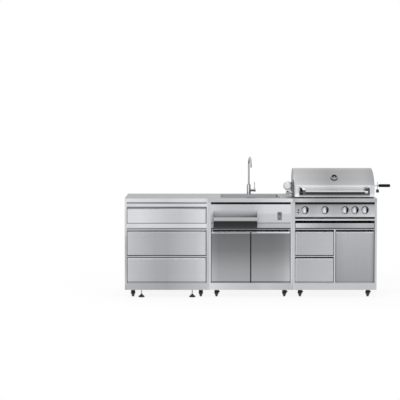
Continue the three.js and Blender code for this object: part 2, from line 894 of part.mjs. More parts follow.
// The spout is one bent tube: a straight riser, a half circle and a short drop to the outlet
const archRadius = spoutReach / 2;
const archCentreZ = counterHeight + spoutTop - spoutRadius - archRadius;
const spoutFoot = faucetPostTop - spoutSocket + fitGap;
function spout() {
  const stations = [
    [0, spoutFoot],
    ...arc(-archRadius, archCentreZ, archRadius, archRadius, 0, 180, archSteps),
    [-spoutReach, counterHeight + spoutOutletHeight],
  ];
  const rings = stations.map(([y, z], index) => {
    const before = stations[Math.max(index - 1, 0)];
    const after = stations[Math.min(index + 1, stations.length - 1)];
    const heading = Math.atan2(after[1] - before[1], after[0] - before[0]);
    return { y, z, heading };
  });
  const positions = [];
  for (const ring of rings) {
    for (let k = 0; k < smallSides; k += 1) {
      const angle = (2 * Math.PI * k) / smallSides;
      const across = spoutRadius * Math.cos(angle);
      const along = spoutRadius * Math.sin(angle);
      positions.push(across, ring.y - along * Math.sin(ring.heading), ring.z + along * Math.cos(ring.heading));
    }
  }
  const firstCentre = positions.length / 3;
  positions.push(0, rings[0].y, rings[0].z);
  positions.push(0, rings[rings.length - 1].y, rings[rings.length - 1].z);
  const faces = [];
  for (let i = 0; i < rings.length - 1; i += 1) {
    for (let k = 0; k < smallSides; k += 1) {
      const a = i * smallSides + k;
      const b = i * smallSides + ((k + 1) % smallSides);
      faces.push(a, a + smallSides, b, b, a + smallSides, b + smallSides);
    }
  }
  const last = (rings.length - 1) * smallSides;
  for (let k = 0; k < smallSides; k += 1) {
    const next = (k + 1) % smallSides;
    faces.push(firstCentre, k, next);
    faces.push(firstCentre + 1, last + next, last + k);
  }
  const geometry = new THREE.BufferGeometry();
  geometry.setAttribute('position', new THREE.BufferAttribute(new Float32Array(positions), 3));
  geometry.setIndex(faces);
  const tube = solidOf(geometry);
  const collarBottom = faucetPostTop + fitGap;
  return join(tube, rodZ(spoutCollarRadius, collarBottom, collarBottom + spoutCollarHeight, 0, 0, roundSides));
}
const spoutMesh = piece('faucet_spout', spout(), chromed, sinkSide, [middleX, faucetFromFront, 0]);
spoutMesh.rotation.z = THREE.MathUtils.degToRad(spoutTurnDegrees);

const leverCapStart = valveLength + fitGap;
const leverMiddle = leverCapStart + leverCapLength / 2;
piece(
  'faucet_lever',
  join(
    rodX(leverCapRadius, leverCapStart, leverCapStart + leverCapLength, 0, 0, roundSides),
    rodZ(leverStemRadius, 0, leverTop - valveHeight, leverMiddle, 0),
  ),
  chromed,
  sinkSide,
  [middleX, faucetFromFront, valveZ],
);

// Bottle rail: an open trough with a vertical lip and a front that slants inwards below it
const railBackY = -fitGap;
const bottleRailRight = cabinetWidth - bottleRailFromRight;
const bottleRailBottom = counterHeight - bottleRailBottomDrop;
const bottleRailLipBottom = counterHeight - bottleRailLipBottomDrop;
const bottleRailLipTop = counterHeight - bottleRailLipTopDrop;
const bottleRailBackTop = counterHeight - bottleRailBackDrop;
const bottleRailOutline = [
  [railBackY, bottleRailBottom],
  [railBackY, bottleRailBackTop],
  [-bottleRailReach, bottleRailLipTop],
  [-bottleRailReach, bottleRailLipBottom],
  [-bottleRailFloorDepth, bottleRailBottom],
];
const bottleRailHollow = [
  [railBackY - sheet, bottleRailBottom + sheet],
  [railBackY - sheet, bottleRailBackTop + overrun],
  [-bottleRailReach + sheet, bottleRailBackTop + overrun],
  [-bottleRailReach + sheet, bottleRailLipBottom],
  [-bottleRailFloorDepth + sheet, bottleRailBottom + sheet],
];
piece(
  'bottle_rail',
  prismX(bottleRailOutline, bottleRailLeft, bottleRailRight).subtract(
    prismX(bottleRailHollow, bottleRailLeft + sheet, bottleRailRight - sheet),
  ),
  brushedDark,
  sinkSide,
);

// Bottle opener: a plate with a hooked mouth
const openerBack = -fitGap;
const openerX = cabinetWidth - openerFromRight;
const openerBottom = counterHeight - openerDrop;
const openerTop = openerBottom + openerHeight;
piece(
  'bottle_opener',
  join(
    block(
      openerX - openerWidth / 2,
      openerX + openerWidth / 2,
      openerBack - openerPlate,
      openerBack,
      openerBottom,
      openerTop,
    ),
    prismX(
      [
        [openerBack - openerPlate / 2, openerTop - openerMouth],
        [openerBack - openerReach, openerTop - openerMouth * 2],
        [openerBack - openerReach, openerTop - openerMouth * 2 - openerPlate],
        [openerBack - openerReach + openerPlate, openerTop - openerMouth * 2 - openerPlate],
        [openerBack - openerPlate / 2, openerTop - openerMouth - openerPlate * 2],
      ],
      openerX - openerWidth / 2 + openerPlate,
      openerX + openerWidth / 2 - openerPlate,
    ),
    block(
      openerX - openerMouth / 2,
      openerX + openerMouth / 2,
      openerBack - openerMouth,
      openerBack - openerPlate / 2,
      openerBottom + openerMouth,
      openerBottom + openerMouth + openerPlate,
    ),
  ),
  chromed,
  sinkSide,
);

// Grill cabinet: a drawer bay and a door bay below, drip tray and control panel above
const dividerRight = dividerLeft + dividerWidth;
const dividerMiddle = (dividerLeft + dividerRight) / 2;
const leftBayRight = dividerLeft - sideGap;
const grillDoorLeft = dividerRight + sideGap;
const grillPivotX = faceRight - pivotInset;
let grillCarcass = join(
  carcass(),
  crossRail(beltBottom, beltTop),
  crossRail(stripBottom, stripTop),
  block(sheet / 2, dividerMiddle, 0, stileDepth, railBottom, railTop),
  block(dividerLeft, dividerRight, 0, stileDepth, plinthTop - sheet, beltBottom + sheet),
  block(
    dividerMiddle - sheet / 2,
    dividerMiddle + sheet / 2,
    sheet,
    cabinetDepth - sheet / 2,
    plinthTop - sheet,
    beltTop,
  ),
);
const grillRows = [
  ['grill_drawer_lower', lowerBottom, lowerTop],
  ['grill_drawer_upper', middleBottom, middleTop],
];
for (const [, bottom] of grillRows) {
  grillCarcass = join(
    grillCarcass,
    runner(sheet / 2, faceLeft + boxInset - fitGap * 2, bottom + memberLift),
    runner(leftBayRight - boxInset + fitGap * 2, dividerMiddle, bottom + memberLift),
  );
}
const trayRimZ = trayTop - trayRim;
const trayBack = cabinetDepth - trayFromBack;
grillCarcass = join(
  grillCarcass,
  block(
    sheet / 2,
    trayInset - fitGap * 2,
    stileDepth + stileWidth,
    trayBack + stileWidth,
    trayRimZ - runnerHeight,
    trayRimZ - fitGap,
  ),
  block(
    cabinetWidth - trayInset + fitGap * 2,
    cabinetWidth - sheet / 2,
    stileDepth + stileWidth,
    trayBack + stileWidth,
    trayRimZ - runnerHeight,
    trayRimZ - fitGap,
  ),
).subtract(pivotHoles(grillPivotX, middleTop));
piece('grill_cabinet', grillCarcass, brushed, grillSide);
for (const [name, bottom, top] of grillRows) {
  piece(name, drawer(faceLeft, leftBayRight, bottom, top), brushed, grillSide);
}
piece('grill_door', door(grillDoorLeft, faceRight, lowerBottom, middleTop, false), brushedDark, grillSide);

// Drip tray: a shallow pan hung by its rims, with a folded front
const trayBottom = trayRimZ - trayWall;
piece(
  'drip_tray',
  join(
    block(faceLeft, faceRight, 0, sheet, bandBottom, trayTop),
    block(faceLeft, faceRight, 0, frontDepth, trayTop - sheet, trayTop),
    block(faceLeft, faceRight, 0, frontDepth, bandBottom, bandBottom + sheet),
    block(faceLeft, faceRight, frontDepth - sheet, frontDepth, bandBottom, trayTop),
    block(
      trayInset,
      cabinetWidth - trayInset,
      frontDepth - sheet,
      trayBack,
      trayBottom,
      trayRimZ + sheet,
    ).subtract(
      block(
        trayInset + sheet,
        cabinetWidth - trayInset - sheet,
        frontDepth,
        trayBack - sheet,
        trayBottom + sheet,
        trayRimZ + overrun,
      ),
    ),
    block(
      trayInset - trayRim,
      trayInset + sheet,
      stileDepth + stileWidth,
      trayBack,
      trayRimZ,
      trayRimZ + sheet,
    ),
    block(
      cabinetWidth - trayInset - sheet,
      cabinetWidth - trayInset + trayRim,
      stileDepth + stileWidth,
      trayBack,
      trayRimZ,
      trayRimZ + sheet,
    ),
  ),
  brushed,
  grillSide,
);

// Control panel: a folded panel with a raised ring round each knob
const panelLeft = stileWidth + fitGap;
const panelRight = cabinetWidth - panelLeft;
const buttonPlaces = [
  ['igniter_button', knobHeight + igniterLift],
  ['light_button', knobHeight - lightDrop],
];
let panel = join(
  block(panelLeft, panelRight, -panelProud, sheet - panelProud, panelBottom, panelTop),
  block(panelLeft, panelRight, -panelProud, stileDepth, panelBottom, panelBottom + sheet),
  block(panelLeft, panelRight, -panelProud, stileDepth, panelTop - sheet, panelTop),
);
for (const x of knobPlaces) {
  const ring = rodY(bezelRadius, -panelProud - bezelHeight, sheet - panelProud, x, knobHeight, bezelSides).subtract(
    rodY(bezelHoleRadius, -panelProud - bezelHeight - overrun, -panelProud, x, knobHeight, bezelSides),
  );
  panel = join(panel, ring).subtract(
    rodY(boreFor(spindleRadius), -panelProud - overrun, stileDepth, x, knobHeight),
  );
}
for (const [, z] of buttonPlaces) {
  const hole = boreFor(buttonRadius, roundSides);
  panel = panel.subtract(rodY(hole, -panelProud - overrun, stileDepth, buttonFromLeft, z, roundSides));
}
piece('control_panel', panel, brushed, grillSide);

// Knobs: a skirt, a tapered grip with a pointer ridge, and the spindle through the panel
function knob() {
  const geometry = turned(
    [
      [0, 0],
      [knobRadius, 0],
      [knobRadius, knobSkirt],
      [knobGripRadius, knobSkirt],
      [knobGripRadius - sheet, knobLength],
      [0, knobLength],
    ],
    roundSides,
  );
  geometry.rotateX(Math.PI);
  const pointer = block(
    -knobPointerWidth / 2,
    knobPointerWidth / 2,
    -knobLength - knobPointerHeight,
    -knobLength + knobPointerHeight,
    -knobGripRadius + knobPointerHeight,
    knobGripRadius - knobPointerHeight,
  );
  const spindleEnd = panelProud + knobStandOff + valveFront - fitGap;
  return join(solidOf(geometry), pointer, rodY(spindleRadius, -knobSkirt, spindleEnd, 0, 0));
}
const knobBack = -panelProud - knobStandOff;
knobPlaces.forEach((x, index) => {
  piece(`knob_${index + 1}`, knob(), chromed, grillSide, [x, knobBack, knobHeight]);
});

// Push buttons: a cap through the panel with a flange behind it
for (const [name, z] of buttonPlaces) {
  const flangeFront = sheet - panelProud + fitGap;
  piece(
    name,
    join(
      rodY(buttonRadius, -panelProud - buttonProud, flangeFront + sheet, 0, 0, roundSides),
      rodY(buttonFlange, flangeFront, flangeFront + sheet, 0, 0, roundSides),
    ),
    blackPlastic,
    grillSide,
    [buttonFromLeft, 0, z],
  );
}

// Grill surround: the worktop of the grill cabinet, open for the firebox
piece(
  'grill_surround',
  worktop().subtract(
    block(
      fireboxLeft - fitGap,
      fireboxRight + fitGap,
      fireboxFront - fitGap,
      fireboxBack + fitGap,
      underTop - overrun,
      counterHeight + overrun,
    ),
  ),
  brushed,
  grillSide,
);

// Firebox: a deep frame hung from the surround by its flange. Its side walls rise inside the lid
// as the hinge ears and as the cradles of the spit.
const fireboxBottom = stripBottom + fireboxBottomLift;
const fireboxRim = counterHeight + fitGap;
const fireboxWallTop = fireboxRim + fireboxSheet;
const ledgeTop = counterHeight - ledgeDrop;
function fireboxSide(x0, x1) {
  const ear = prismX(
    [
      [hingeDepth - earHalf * 2, ledgeTop],
      [hingeDepth - earHalf * 2, fireboxWallTop],
      [hingeDepth - earHalf, hingeHeight + earTop],
      [hingeDepth + earHalf, hingeHeight + earTop],
      [hingeDepth + earHalf, fireboxWallTop],
      [fireboxBack, fireboxRim],
      [fireboxBack, ledgeTop],
    ],
    x0,
    x1,
  );
  const cradle = block(
    x0,
    x1,
    spitDepth - spitCradleHalf,
    spitDepth + spitCradleHalf,
    ledgeTop,
    spitHeight + spitRadius,
  ).subtract(
    join(
      rodX(boreFor(spitRadius, roundSides), x0 - overrun, x1 + overrun, spitDepth, spitHeight, roundSides),
      block(
        x0 - overrun,
        x1 + overrun,
        spitDepth - boreFor(spitRadius, roundSides),
        spitDepth + boreFor(spitRadius, roundSides),
        spitHeight,
        spitHeight + spitRadius + overrun,
      ),
    ),
  );
  return join(ear, cradle);
}
let firebox = block(fireboxLeft, fireboxRight, fireboxFront, fireboxBack, fireboxBottom, fireboxWallTop)
  .subtract(
    block(
      fireboxLeft + fireboxSheet,
      fireboxRight - fireboxSheet,
      fireboxFront + fireboxSheet,
      fireboxBack - fireboxSheet,
      fireboxBottom + fireboxSheet,
      fireboxWallTop + overrun,
    ),
  )
  .subtract(
    block(
      fireboxLeft + fireboxLip,
      fireboxRight - fireboxLip,
      fireboxFront + fireboxLip,
      fireboxBack - fireboxLip,
      fireboxBottom - overrun,
      fireboxBottom + overrun,
    ),
  );
firebox = join(
  firebox,
  block(
    fireboxLeft - fireboxFlange,
    fireboxRight + fireboxFlange,
    fireboxFront - fireboxFlange,
    fireboxBack + fireboxFlange,
    fireboxRim,
    fireboxWallTop,
  ).subtract(
    block(
      fireboxLeft + fireboxSheet / 2,
      fireboxRight - fireboxSheet / 2,
      fireboxFront + fireboxSheet / 2,
      fireboxBack - fireboxSheet / 2,
      fireboxRim - overrun,
      fireboxWallTop + overrun,
    ),
  ),
  block(
    fireboxLeft,
    fireboxRight,
    fireboxFront,
    fireboxFront + ledgeWidth,
    ledgeTop - fireboxSheet,
    ledgeTop,
  ),
  block(
    fireboxLeft,
    fireboxRight,
    fireboxBack - ledgeWidth,
    fireboxBack,
    ledgeTop - fireboxSheet,
    ledgeTop,
  ),
  fireboxSide(fireboxLeft, fireboxLeft + fireboxSheet),
  fireboxSide(fireboxRight - fireboxSheet, fireboxRight),
  rodX(
    hingePinRadius,
    fireboxLeft - hingePinLength,
    fireboxLeft + fireboxSheet,
    hingeDepth,
    hingeHeight,
    roundSides,
  ),
  rodX(
    hingePinRadius,
    fireboxRight - fireboxSheet,
    fireboxRight + hingePinLength,
    hingeDepth,
    hingeHeight,
    roundSides,
  ),
);
for (const x of burnerPlaces) {
  firebox = firebox.subtract(
    rodY(boreFor(burnerRadius), fireboxFront - overrun, fireboxFront + overrun, x, burnerHeight),
  );
}
piece('firebox', firebox, brushedDark, grillSide);

// Burners: tubes on a gas manifold, with a valve body behind each knob
const burnerSolids = burnerPlaces.map((x) =>
  rodY(burnerRadius, manifoldDepth, fireboxBack - fireboxSheet - fitGap, x, burnerHeight),
);
const manifoldHalfGap = sheet + fitGap;
burnerSolids.push(
  rodX(manifoldRadius, manifoldHalfGap, cabinetWidth - manifoldHalfGap, manifoldDepth, burnerHeight),
);
for (const x of knobPlaces) {
  burnerSolids.push(
    block(
      x - valveWidth / 2,
      x + valveWidth / 2,
      valveFront,
      manifoldDepth,
      burnerHeight - valveWidth / 2,
      burnerHeight + valveWidth / 2,
    ),
  );
}
piece('burner_set', join(...burnerSolids), castIron, grillSide);

// Cooking grate: a casting with bars front to back between its end bars, on the firebox ledges
const grateClearance = fireboxSheet + fitGap * 2;
const grateLeft = fireboxLeft + grateClearance;
const grateRight = fireboxRight - grateClearance;
const grateFront = fireboxFront + grateClearance;
const grateBack = fireboxBack - grateClearance;
const grateBottom = ledgeTop + fitGap;
const grateTop = grateBottom + grateHeight;
function cookingGrate() {
  const pitch = (grateRight - grateLeft - grateBar) / grateCount;
  const slots = [];
  for (let i = 0; i < grateCount; i += 1) {
    const x0 = grateLeft + i * pitch + grateBar;
    slots.push(
      block(
        x0,
        x0 + pitch - grateBar,
        grateFront + grateCrossBar,
        grateBack - grateCrossBar,
        grateBottom - overrun,
        grateTop + overrun,
      ),
    );
  }
  return slots.reduce(
    (plate, slot) => plate.subtract(slot),
    block(grateLeft, grateRight, grateFront, grateBack, grateBottom, grateTop),
  );
}
piece('cooking_grate', cookingGrate(), castIron, grillSide);

// Warming rack: long rods on two end frames whose feet span the bars of the cooking grate
const rackTop = counterHeight + warmingHeight;
const rackLeft = warmingInset;
const rackRight = cabinetWidth - warmingInset;
const warmingBack = cabinetDepth - warmingFromBack;
const warmingFront = warmingBack - warmingDepth;
const rackFootBottom = grateTop + fitGap;
const rackBars = [];
for (let i = 0; i < warmingCount; i += 1) {
  const y = warmingFront + ((warmingBack - warmingFront - warmingBar) * i) / (warmingCount - 1);
  rackBars.push(block(rackLeft, rackRight, y, y + warmingBar, rackTop - warmingBar, rackTop));
}
for (const [x, footLeft] of [
  [rackLeft, rackLeft],
  [rackRight - warmingBar, rackRight - warmingFoot],
]) {
  rackBars.push(block(x, x + warmingBar, warmingFront, warmingBack, rackTop - warmingBar, rackTop));
  for (const y of [warmingFront, warmingBack - warmingBar]) {
    rackBars.push(block(x, x + warmingBar, y, y + warmingBar, rackFootBottom, rackTop));
    rackBars.push(
      block(footLeft, footLeft + warmingFoot, y, y + warmingBar, rackFootBottom, rackFootBottom + warmingBar),
    );
  }
}
piece('warming_rack', join(...rackBars), chromed, grillSide);

// Lid: a shell with an upright front, a crease where its curved upper part leans back, and a rounded
// back. A cheek closes it at each end.
const lidBottom = counterHeight + lidLift;
const lidTopDepth = cabinetDepth - lidTopFromBack;
const lidShoulder = counterHeight + lidSteep;
const lidPeak = counterHeight + lidTop;
const lidBackShoulder = counterHeight + lidBackSteep;
const lidBackEdge = hingeHeight + lidBackEdgeLift;
const lidLean = THREE.MathUtils.degToRad(lidLeanDegrees);
const lidCentreZ = (lidShoulder - lidPeak * Math.sin(lidLean)) / (1 - Math.sin(lidLean));
const lidRise = lidPeak - lidCentreZ;
const lidRun = (lidTopDepth - lidFront) / Math.cos(lidLean);
function lidCurve(inset) {
  const frontArc = arc(
    lidTopDepth,
    lidCentreZ,
    lidRun - inset,
    lidRise - inset,
    180 - lidLeanDegrees,
    90,
    lidSteps,
  );
  const backArc = arc(
    lidTopDepth,
    lidBackShoulder,
    lidBack - lidTopDepth - inset,
    lidPeak - lidBackShoulder - inset,
    90,
    0,
    lidSteps,
  );
  return [...frontArc, ...backArc.slice(1)];
}
const cheekOutline = [
  [lidFront, lidBottom],
  ...lidCurve(0),
  [lidBack, lidBackEdge],
  [hingeDepth + lidBackNotch, lidBottom],
];
const lidHollow = [
  [lidFront + lidSheet, lidBottom - overrun],
  ...lidCurve(lidSheet),
  [lidBack - lidSheet, lidBottom - overrun],
];
const lidBackCut = [
  [hingeDepth + lidBackNotch, lidBottom - overrun],
  [hingeDepth + lidBackNotch, lidBottom],
  [lidBack, lidBackEdge],
  [lidBack + overrun, lidBackEdge],
  [lidBack + overrun, lidBottom - overrun],
];
const spitSlotTop = spitHeight + spitRadius + overrun;
let lid = prismX(cheekOutline, lidLeft, lidRight).subtract(
  prismX(lidHollow, lidLeft + lidSheet, lidRight - lidSheet),
);
lid = lid.subtract(prismX(lidBackCut, lidLeft - overrun, lidRight + overrun));
lid = lid.subtract(
  rodX(
    boreFor(hingePinRadius, roundSides),
    lidLeft - overrun,
    lidRight + overrun,
    hingeDepth,
    hingeHeight,
    roundSides,
  ),
);
lid = lid.subtract(
  block(
    lidLeft - overrun,
    lidRight + overrun,
    spitDepth - spitSlotHalf - spitRadius,
    spitDepth + spitSlotHalf - spitRadius / 2,
    lidBottom - overrun,
    spitSlotTop,
  ),
);

// Thermometer: a gauge head square to the curved lid, with its probe through the sheet
const gaugeZ = counterHeight + gaugeHeight;
const gaugeSweep = Math.asin((gaugeZ - lidCentreZ) / lidRise);
const gaugeY = lidTopDepth - lidRun * Math.cos(gaugeSweep);
const normalY = -Math.cos(gaugeSweep) / lidRun;
const normalZ = Math.sin(gaugeSweep) / lidRise;
const gaugeTilt = Math.atan2(normalZ, -normalY);
function alongGauge(solidGeometry) {
  solidGeometry.rotateX(Math.PI - gaugeTilt);
  solidGeometry.translate(middleX, gaugeY, gaugeZ);
  return solidOf(solidGeometry);
}
const probeHole = new THREE.CylinderGeometry(
  boreFor(gaugeStemRadius),
  boreFor(gaugeStemRadius),
  gaugeStemLength,
  smallSides,
);
lid = lid.subtract(alongGauge(probeHole));
piece('lid', lid, brushed, grillSide);
const gauge = turned(
  [
    [0, -gaugeStemLength],
    [gaugeStemRadius, -gaugeStemLength],
    [gaugeStemRadius, gaugeSeat],
    [gaugeRadius, gaugeSeat],
    [gaugeRadius, gaugeSeat + gaugeThickness],
    [0, gaugeSeat + gaugeThickness],
  ],
  roundSides,
);
piece('lid_thermometer', alongGauge(gauge), chromed, grillSide);

// Lid handle: a thick bar between two cast end brackets
const handleZ = counterHeight + handleLift;
const handleY = lidFront - handleReach;
const handleBack = lidFront - fitGap;
function handleEnd(x) {
  const half = handleEndHeight / 2;
  return prismX(
    [
      [handleBack, handleZ - half],
      [handleBack, handleZ + half],
      [handleBack - handleEndThickness, handleZ + half],
      ...arc(handleY, handleZ, handleBarRadius + sheet, handleBarRadius + sheet, 60, 300, smallSides),
      [handleBack - handleEndThickness, handleZ - half],
    ],
    x,
    x + handleEndWidth,
  );
}
const handleEndRight = cabinetWidth - handleEndLeft - handleEndWidth;
piece(
  'lid_handle',
  join(
    handleEnd(handleEndLeft),
    handleEnd(handleEndRight),
    rodX(
      handleBarRadius,
      handleEndLeft + sheet,
      cabinetWidth - handleEndLeft - sheet,
      handleY,
      handleZ,
      roundSides,
    ),
  ),
  chromed,
  grillSide,
);

// Rotisserie motor: a round head on a neck, held by an upright plate that stands on the surround
const motorX = (motorRight - motorLeft) / 2;
const motorFootZ = counterHeight + motorFoot;
const motorFrontY = spitDepth - motorDepth / 2;
const motorBackY = spitDepth + motorDepth / 2;
const plateLeft = motorPlateLeft;
const plateRight = plateLeft + sheet;
const plateFoot = lidLeft - plateLeft - overrun;
const surroundTop = counterHeight + fitGap;
piece(
  'rotisserie_motor',
  join(
    rodY(motorRadius, motorFrontY, motorBackY, motorX, spitHeight, roundSides),
    block(
      motorX - motorNeckWidth / 2,
      motorX + motorNeckWidth / 2,
      motorFrontY,
      motorBackY,
      motorFootZ,
      spitHeight,
    ),
    block(
      plateLeft,
      plateRight,
      spitDepth - motorPlateWidth / 2,
      spitDepth + motorPlateWidth / 2,
      surroundTop,
      counterHeight + motorPlateTop,
    ),
    block(
      plateLeft,
      plateLeft + plateFoot,
      spitDepth - motorPlateWidth / 2,
      spitDepth + motorPlateWidth / 2,
      surroundTop,
      surroundTop + sheet,
    ),
    block(motorX, plateRight, motorFrontY + overrun, motorBackY - overrun, motorFootZ, spitHeight + motorRadius / 2),
  ).subtract(
    rodX(boreFor(spitRadius, roundSides), motorX, plateRight + overrun, spitDepth, spitHeight, roundSides),
  ),
  motorGrey,
  grillSide,
);

// Spit: a rod from the motor to a tapered handle, with two meat forks clamped on it
const spitStart = motorX + fitGap;
const spitEnd = cabinetWidth + spitOverhang;
const spitHandleStart = spitEnd - spitHandleLength;
function spitHandle() {
  const geometry = turned(
    [
      [0, 0],
      [spitHandleNeck, 0],
      [spitHandleRadius - sheet, spitHandleNeck],
      [spitHandleRadius, spitHandleLength - spitHandleNeck],
      [spitHandleNeck, spitHandleLength],
      [0, spitHandleLength],
    ],
    roundSides,
  );
  geometry.rotateZ(-Math.PI / 2);
  geometry.translate(spitHandleStart, 0, 0);
  return solidOf(geometry);
}
const spitPieces = [
  rodX(spitRadius, spitStart, spitHandleStart + spitHandleNeck, 0, 0, roundSides),
  spitHandle(),
  rodX(spitCollarRadius, lidRight + spitCollarLength, lidRight + spitCollarLength * 2, 0, 0, roundSides),
];
[forkInset, cabinetWidth - forkInset].forEach((x, index) => {
  const inwards = index === 0 ? 1 : -1;
  const prongFrom = Math.min(x, x + inwards * forkProngLength);
  const prongTo = Math.max(x, x + inwards * forkProngLength);
  spitPieces.push(rodX(forkCollarRadius, x - forkCollarLength / 2, x + forkCollarLength / 2, 0, 0));
  spitPieces.push(
    block(x - forkBar / 2, x + forkBar / 2, -forkBar / 2, forkBar / 2, -forkSpan / 2, forkSpan / 2),
  );
  for (const side of [-1, 1]) {
    const z = (side * (forkSpan - forkBar)) / 2;
    spitPieces.push(
      block(prongFrom, prongTo, -forkBar / 2, forkBar / 2, z - forkBar / 2, z + forkBar / 2),
    );
  }
});
piece('spit_rod', join(...spitPieces), chromed, grillSide, [0, spitDepth, spitHeight]);

// Counterweight: a cross rod on a hub round the spit, with a weight at its lower end
const counterX = cabinetWidth + counterweightFromSide;
piece(
  'spit_counterweight',
  join(
    rodX(counterHubRadius, -counterHubLength / 2, counterHubLength / 2, 0, 0, roundSides),
    rodZ(counterRodRadius, -counterRodDown, counterRodUp, 0, 0),
    block(
      -counterweightWidth / 2,
      counterweightWidth / 2,
      -counterweightWidth / 2,
      counterweightWidth / 2,
      -counterRodDown - counterweightHeight / 2,
      -counterRodDown + counterweightHeight / 2,
    ),
  ).subtract(rodX(boreFor(spitRadius, roundSides), -overrun, overrun, 0, 0, roundSides)),
  castIron,
  grillSide,
  [counterX, spitDepth, spitHeight],
);

// The island is moved so that its origin lies under the middle of its box
const furthestForward = -bottleRailReach;
const furthestRight = islandWidth + spitOverhang;
island.position.set(-furthestRight / 2, -(furthestForward + cabinetDepth) / 2, 0);

export default island;
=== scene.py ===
import json
import math

import bmesh
import bpy
from mathutils import Matrix, Vector

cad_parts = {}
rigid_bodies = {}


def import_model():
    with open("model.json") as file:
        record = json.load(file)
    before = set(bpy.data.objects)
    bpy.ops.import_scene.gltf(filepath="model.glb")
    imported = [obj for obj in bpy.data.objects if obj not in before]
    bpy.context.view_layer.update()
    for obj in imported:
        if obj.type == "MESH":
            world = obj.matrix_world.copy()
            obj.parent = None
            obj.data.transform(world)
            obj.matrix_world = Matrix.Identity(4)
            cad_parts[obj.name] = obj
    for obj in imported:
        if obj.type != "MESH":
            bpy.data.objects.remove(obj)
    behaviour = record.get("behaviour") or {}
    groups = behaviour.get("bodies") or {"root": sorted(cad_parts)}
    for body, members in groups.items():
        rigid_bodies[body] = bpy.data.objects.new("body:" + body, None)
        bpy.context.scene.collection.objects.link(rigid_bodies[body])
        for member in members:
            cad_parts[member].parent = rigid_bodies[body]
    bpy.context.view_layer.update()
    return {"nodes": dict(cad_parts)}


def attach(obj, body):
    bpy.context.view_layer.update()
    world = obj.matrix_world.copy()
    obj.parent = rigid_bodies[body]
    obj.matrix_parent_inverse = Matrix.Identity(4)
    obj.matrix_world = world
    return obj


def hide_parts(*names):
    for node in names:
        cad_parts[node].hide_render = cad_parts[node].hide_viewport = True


for leftover in list(bpy.data.objects):
    bpy.data.objects.remove(leftover)
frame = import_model()


# Three cabinet carcasses of folded stainless sheet: sides with returned stiles, back, floor, plinth
# and cross rails, spot-welded into open boxes. Each is welded into one mesh here and given the small
# radius that a press brake leaves on its folds. Lengths are in millimetres, tones are out of 255.
# The tones are painted light: sheen, reflections and shade worked into the colour of the steel.
cabinet_left = {"drawer": -1280.3, "sink": -480.0, "grill": 320.3}
front_plane = -252.5
cabinet_width = 800
rightward, rearward, forward, upward = (1, 0, 0), (0, 1, 0), (0, -1, 0), (0, 0, 1)
cool_cast = (0.98, 0.995, 1.03)


class Wire:
    """A socket that takes part in arithmetic: each operator adds one Math node."""

    def __init__(self, nodes, socket):
        self.nodes = nodes
        self.socket = socket

    def beside(self, name):
        """Another output of the same node."""
        return Wire(self.nodes, self.socket.node.outputs[name])

    def math(self, operation, first, second):
        return self.nodes.add("ShaderNodeMath", {"operation": operation}, {0: first, 1: second})

    def __add__(self, other):
        return self.math("ADD", self, other)

    def __mul__(self, other):
        return self.math("MULTIPLY", self, other)

    __radd__, __rmul__ = __add__, __mul__

    def __sub__(self, other):
        return self.math("SUBTRACT", self, other)

    def __rsub__(self, other):
        return self.math("SUBTRACT", other, self)


class Nodes:
    """The node tree of one finish, or of the room."""

    def __init__(self, tree):
        self.tree = tree
        tree.nodes.clear()

    def add(self, kind, settings=None, sockets=None, output=0):
        """Adds a node: its settings first, then the values or links of its sockets."""
        node = self.tree.nodes.new(kind)
        for name, value in (settings or {}).items():
            if name == "stops":
                band = node.color_ramp.elements
                band[0].position = value[0][0]
                band.remove(band[1])
                for place, _ in value[1:]:
                    band.new(place)
                for element, (_, grey) in zip(band, value):
                    element.color = (grey, grey, grey, 1)
            else:
                setattr(node, name, value)
        for name, value in (sockets or {}).items():
            if isinstance(value, Wire):
                self.tree.links.new(value.socket, node.inputs[name])
            else:
                node.inputs[name].default_value = value
        return Wire(self, node.outputs[output]) if node.outputs else None


def new_finish(name):
    """A material's nodes, and the place on the piece that its patterns follow."""
    material = bpy.data.materials.new(name)
    material.use_nodes = True
    finish = Nodes(material.node_tree)
    finish.material = material
    return finish, finish.add("ShaderNodeTexCoord", output="Object")


def noise(finish, place, counts, detail=2.0):
    """Noise over the piece, by its counts per metre along X, Y and Z or one count for all three."""
    stretch = counts if isinstance(counts, list) else [counts] * 3
    scaled = finish.add("ShaderNodeMapping", {}, {"Vector": place, "Scale": stretch})
    return finish.add("ShaderNodeTexNoise", {}, {"Vector": scaled, "Scale": 1.0, "Detail": detail})


def tint(level, cast=cool_cast):
    """A nearly neutral grey with the slight cool cast of stainless steel."""
    return (*(min(level * share, 1) for share in cast), 1)


def blend(finish, share, level, darker, lighter, cast=cool_cast):
    """The base colour between a darker and a lighter share of its level."""
    ends = {6: tint(level * darker, cast), 7: tint(level * lighter, cast)}
    return finish.add("ShaderNodeMix", {"data_type": "RGBA"}, {0: share, **ends}, output=2)


def surface(finish, colour, roughness, relief, others):
    """Ends a finish with its shader. The relief is a strength, a depth in metres and a height."""
    bump = finish.add("ShaderNodeBump", {}, dict(zip(("Strength", "Distance", "Height"), relief)))
    sockets = {"Base Color": colour, "Roughness": roughness, "Normal": bump, **others}
    shader = finish.add("ShaderNodeBsdfPrincipled", {}, sockets)
    finish.add("ShaderNodeOutputMaterial", {}, {"Surface": shader})
    return finish


def linear(tone):
    """The level of light of a tone."""
    return ((tone / 255 + 0.055) / 1.055) ** 2.4


def sheen(cabinet, axis, tones):
    """Painted sheen: tones of reflected light and shade at places along one axis of a cabinet: the
    brightest as a level, then the axis, its two ends in metres and stops of the share of that level."""
    corner = {"x": cabinet_left[cabinet], "y": front_plane, "z": 0}[axis]
    start, end = tones[0][0], tones[-1][0]
    brightest = max(linear(tone) for _, tone in tones)
    stops = [((place - start) / (end - start), linear(tone) / brightest) for place, tone in tones]
    return brightest, (axis, (corner + start) / 1000, (corner + end) / 1000, stops)


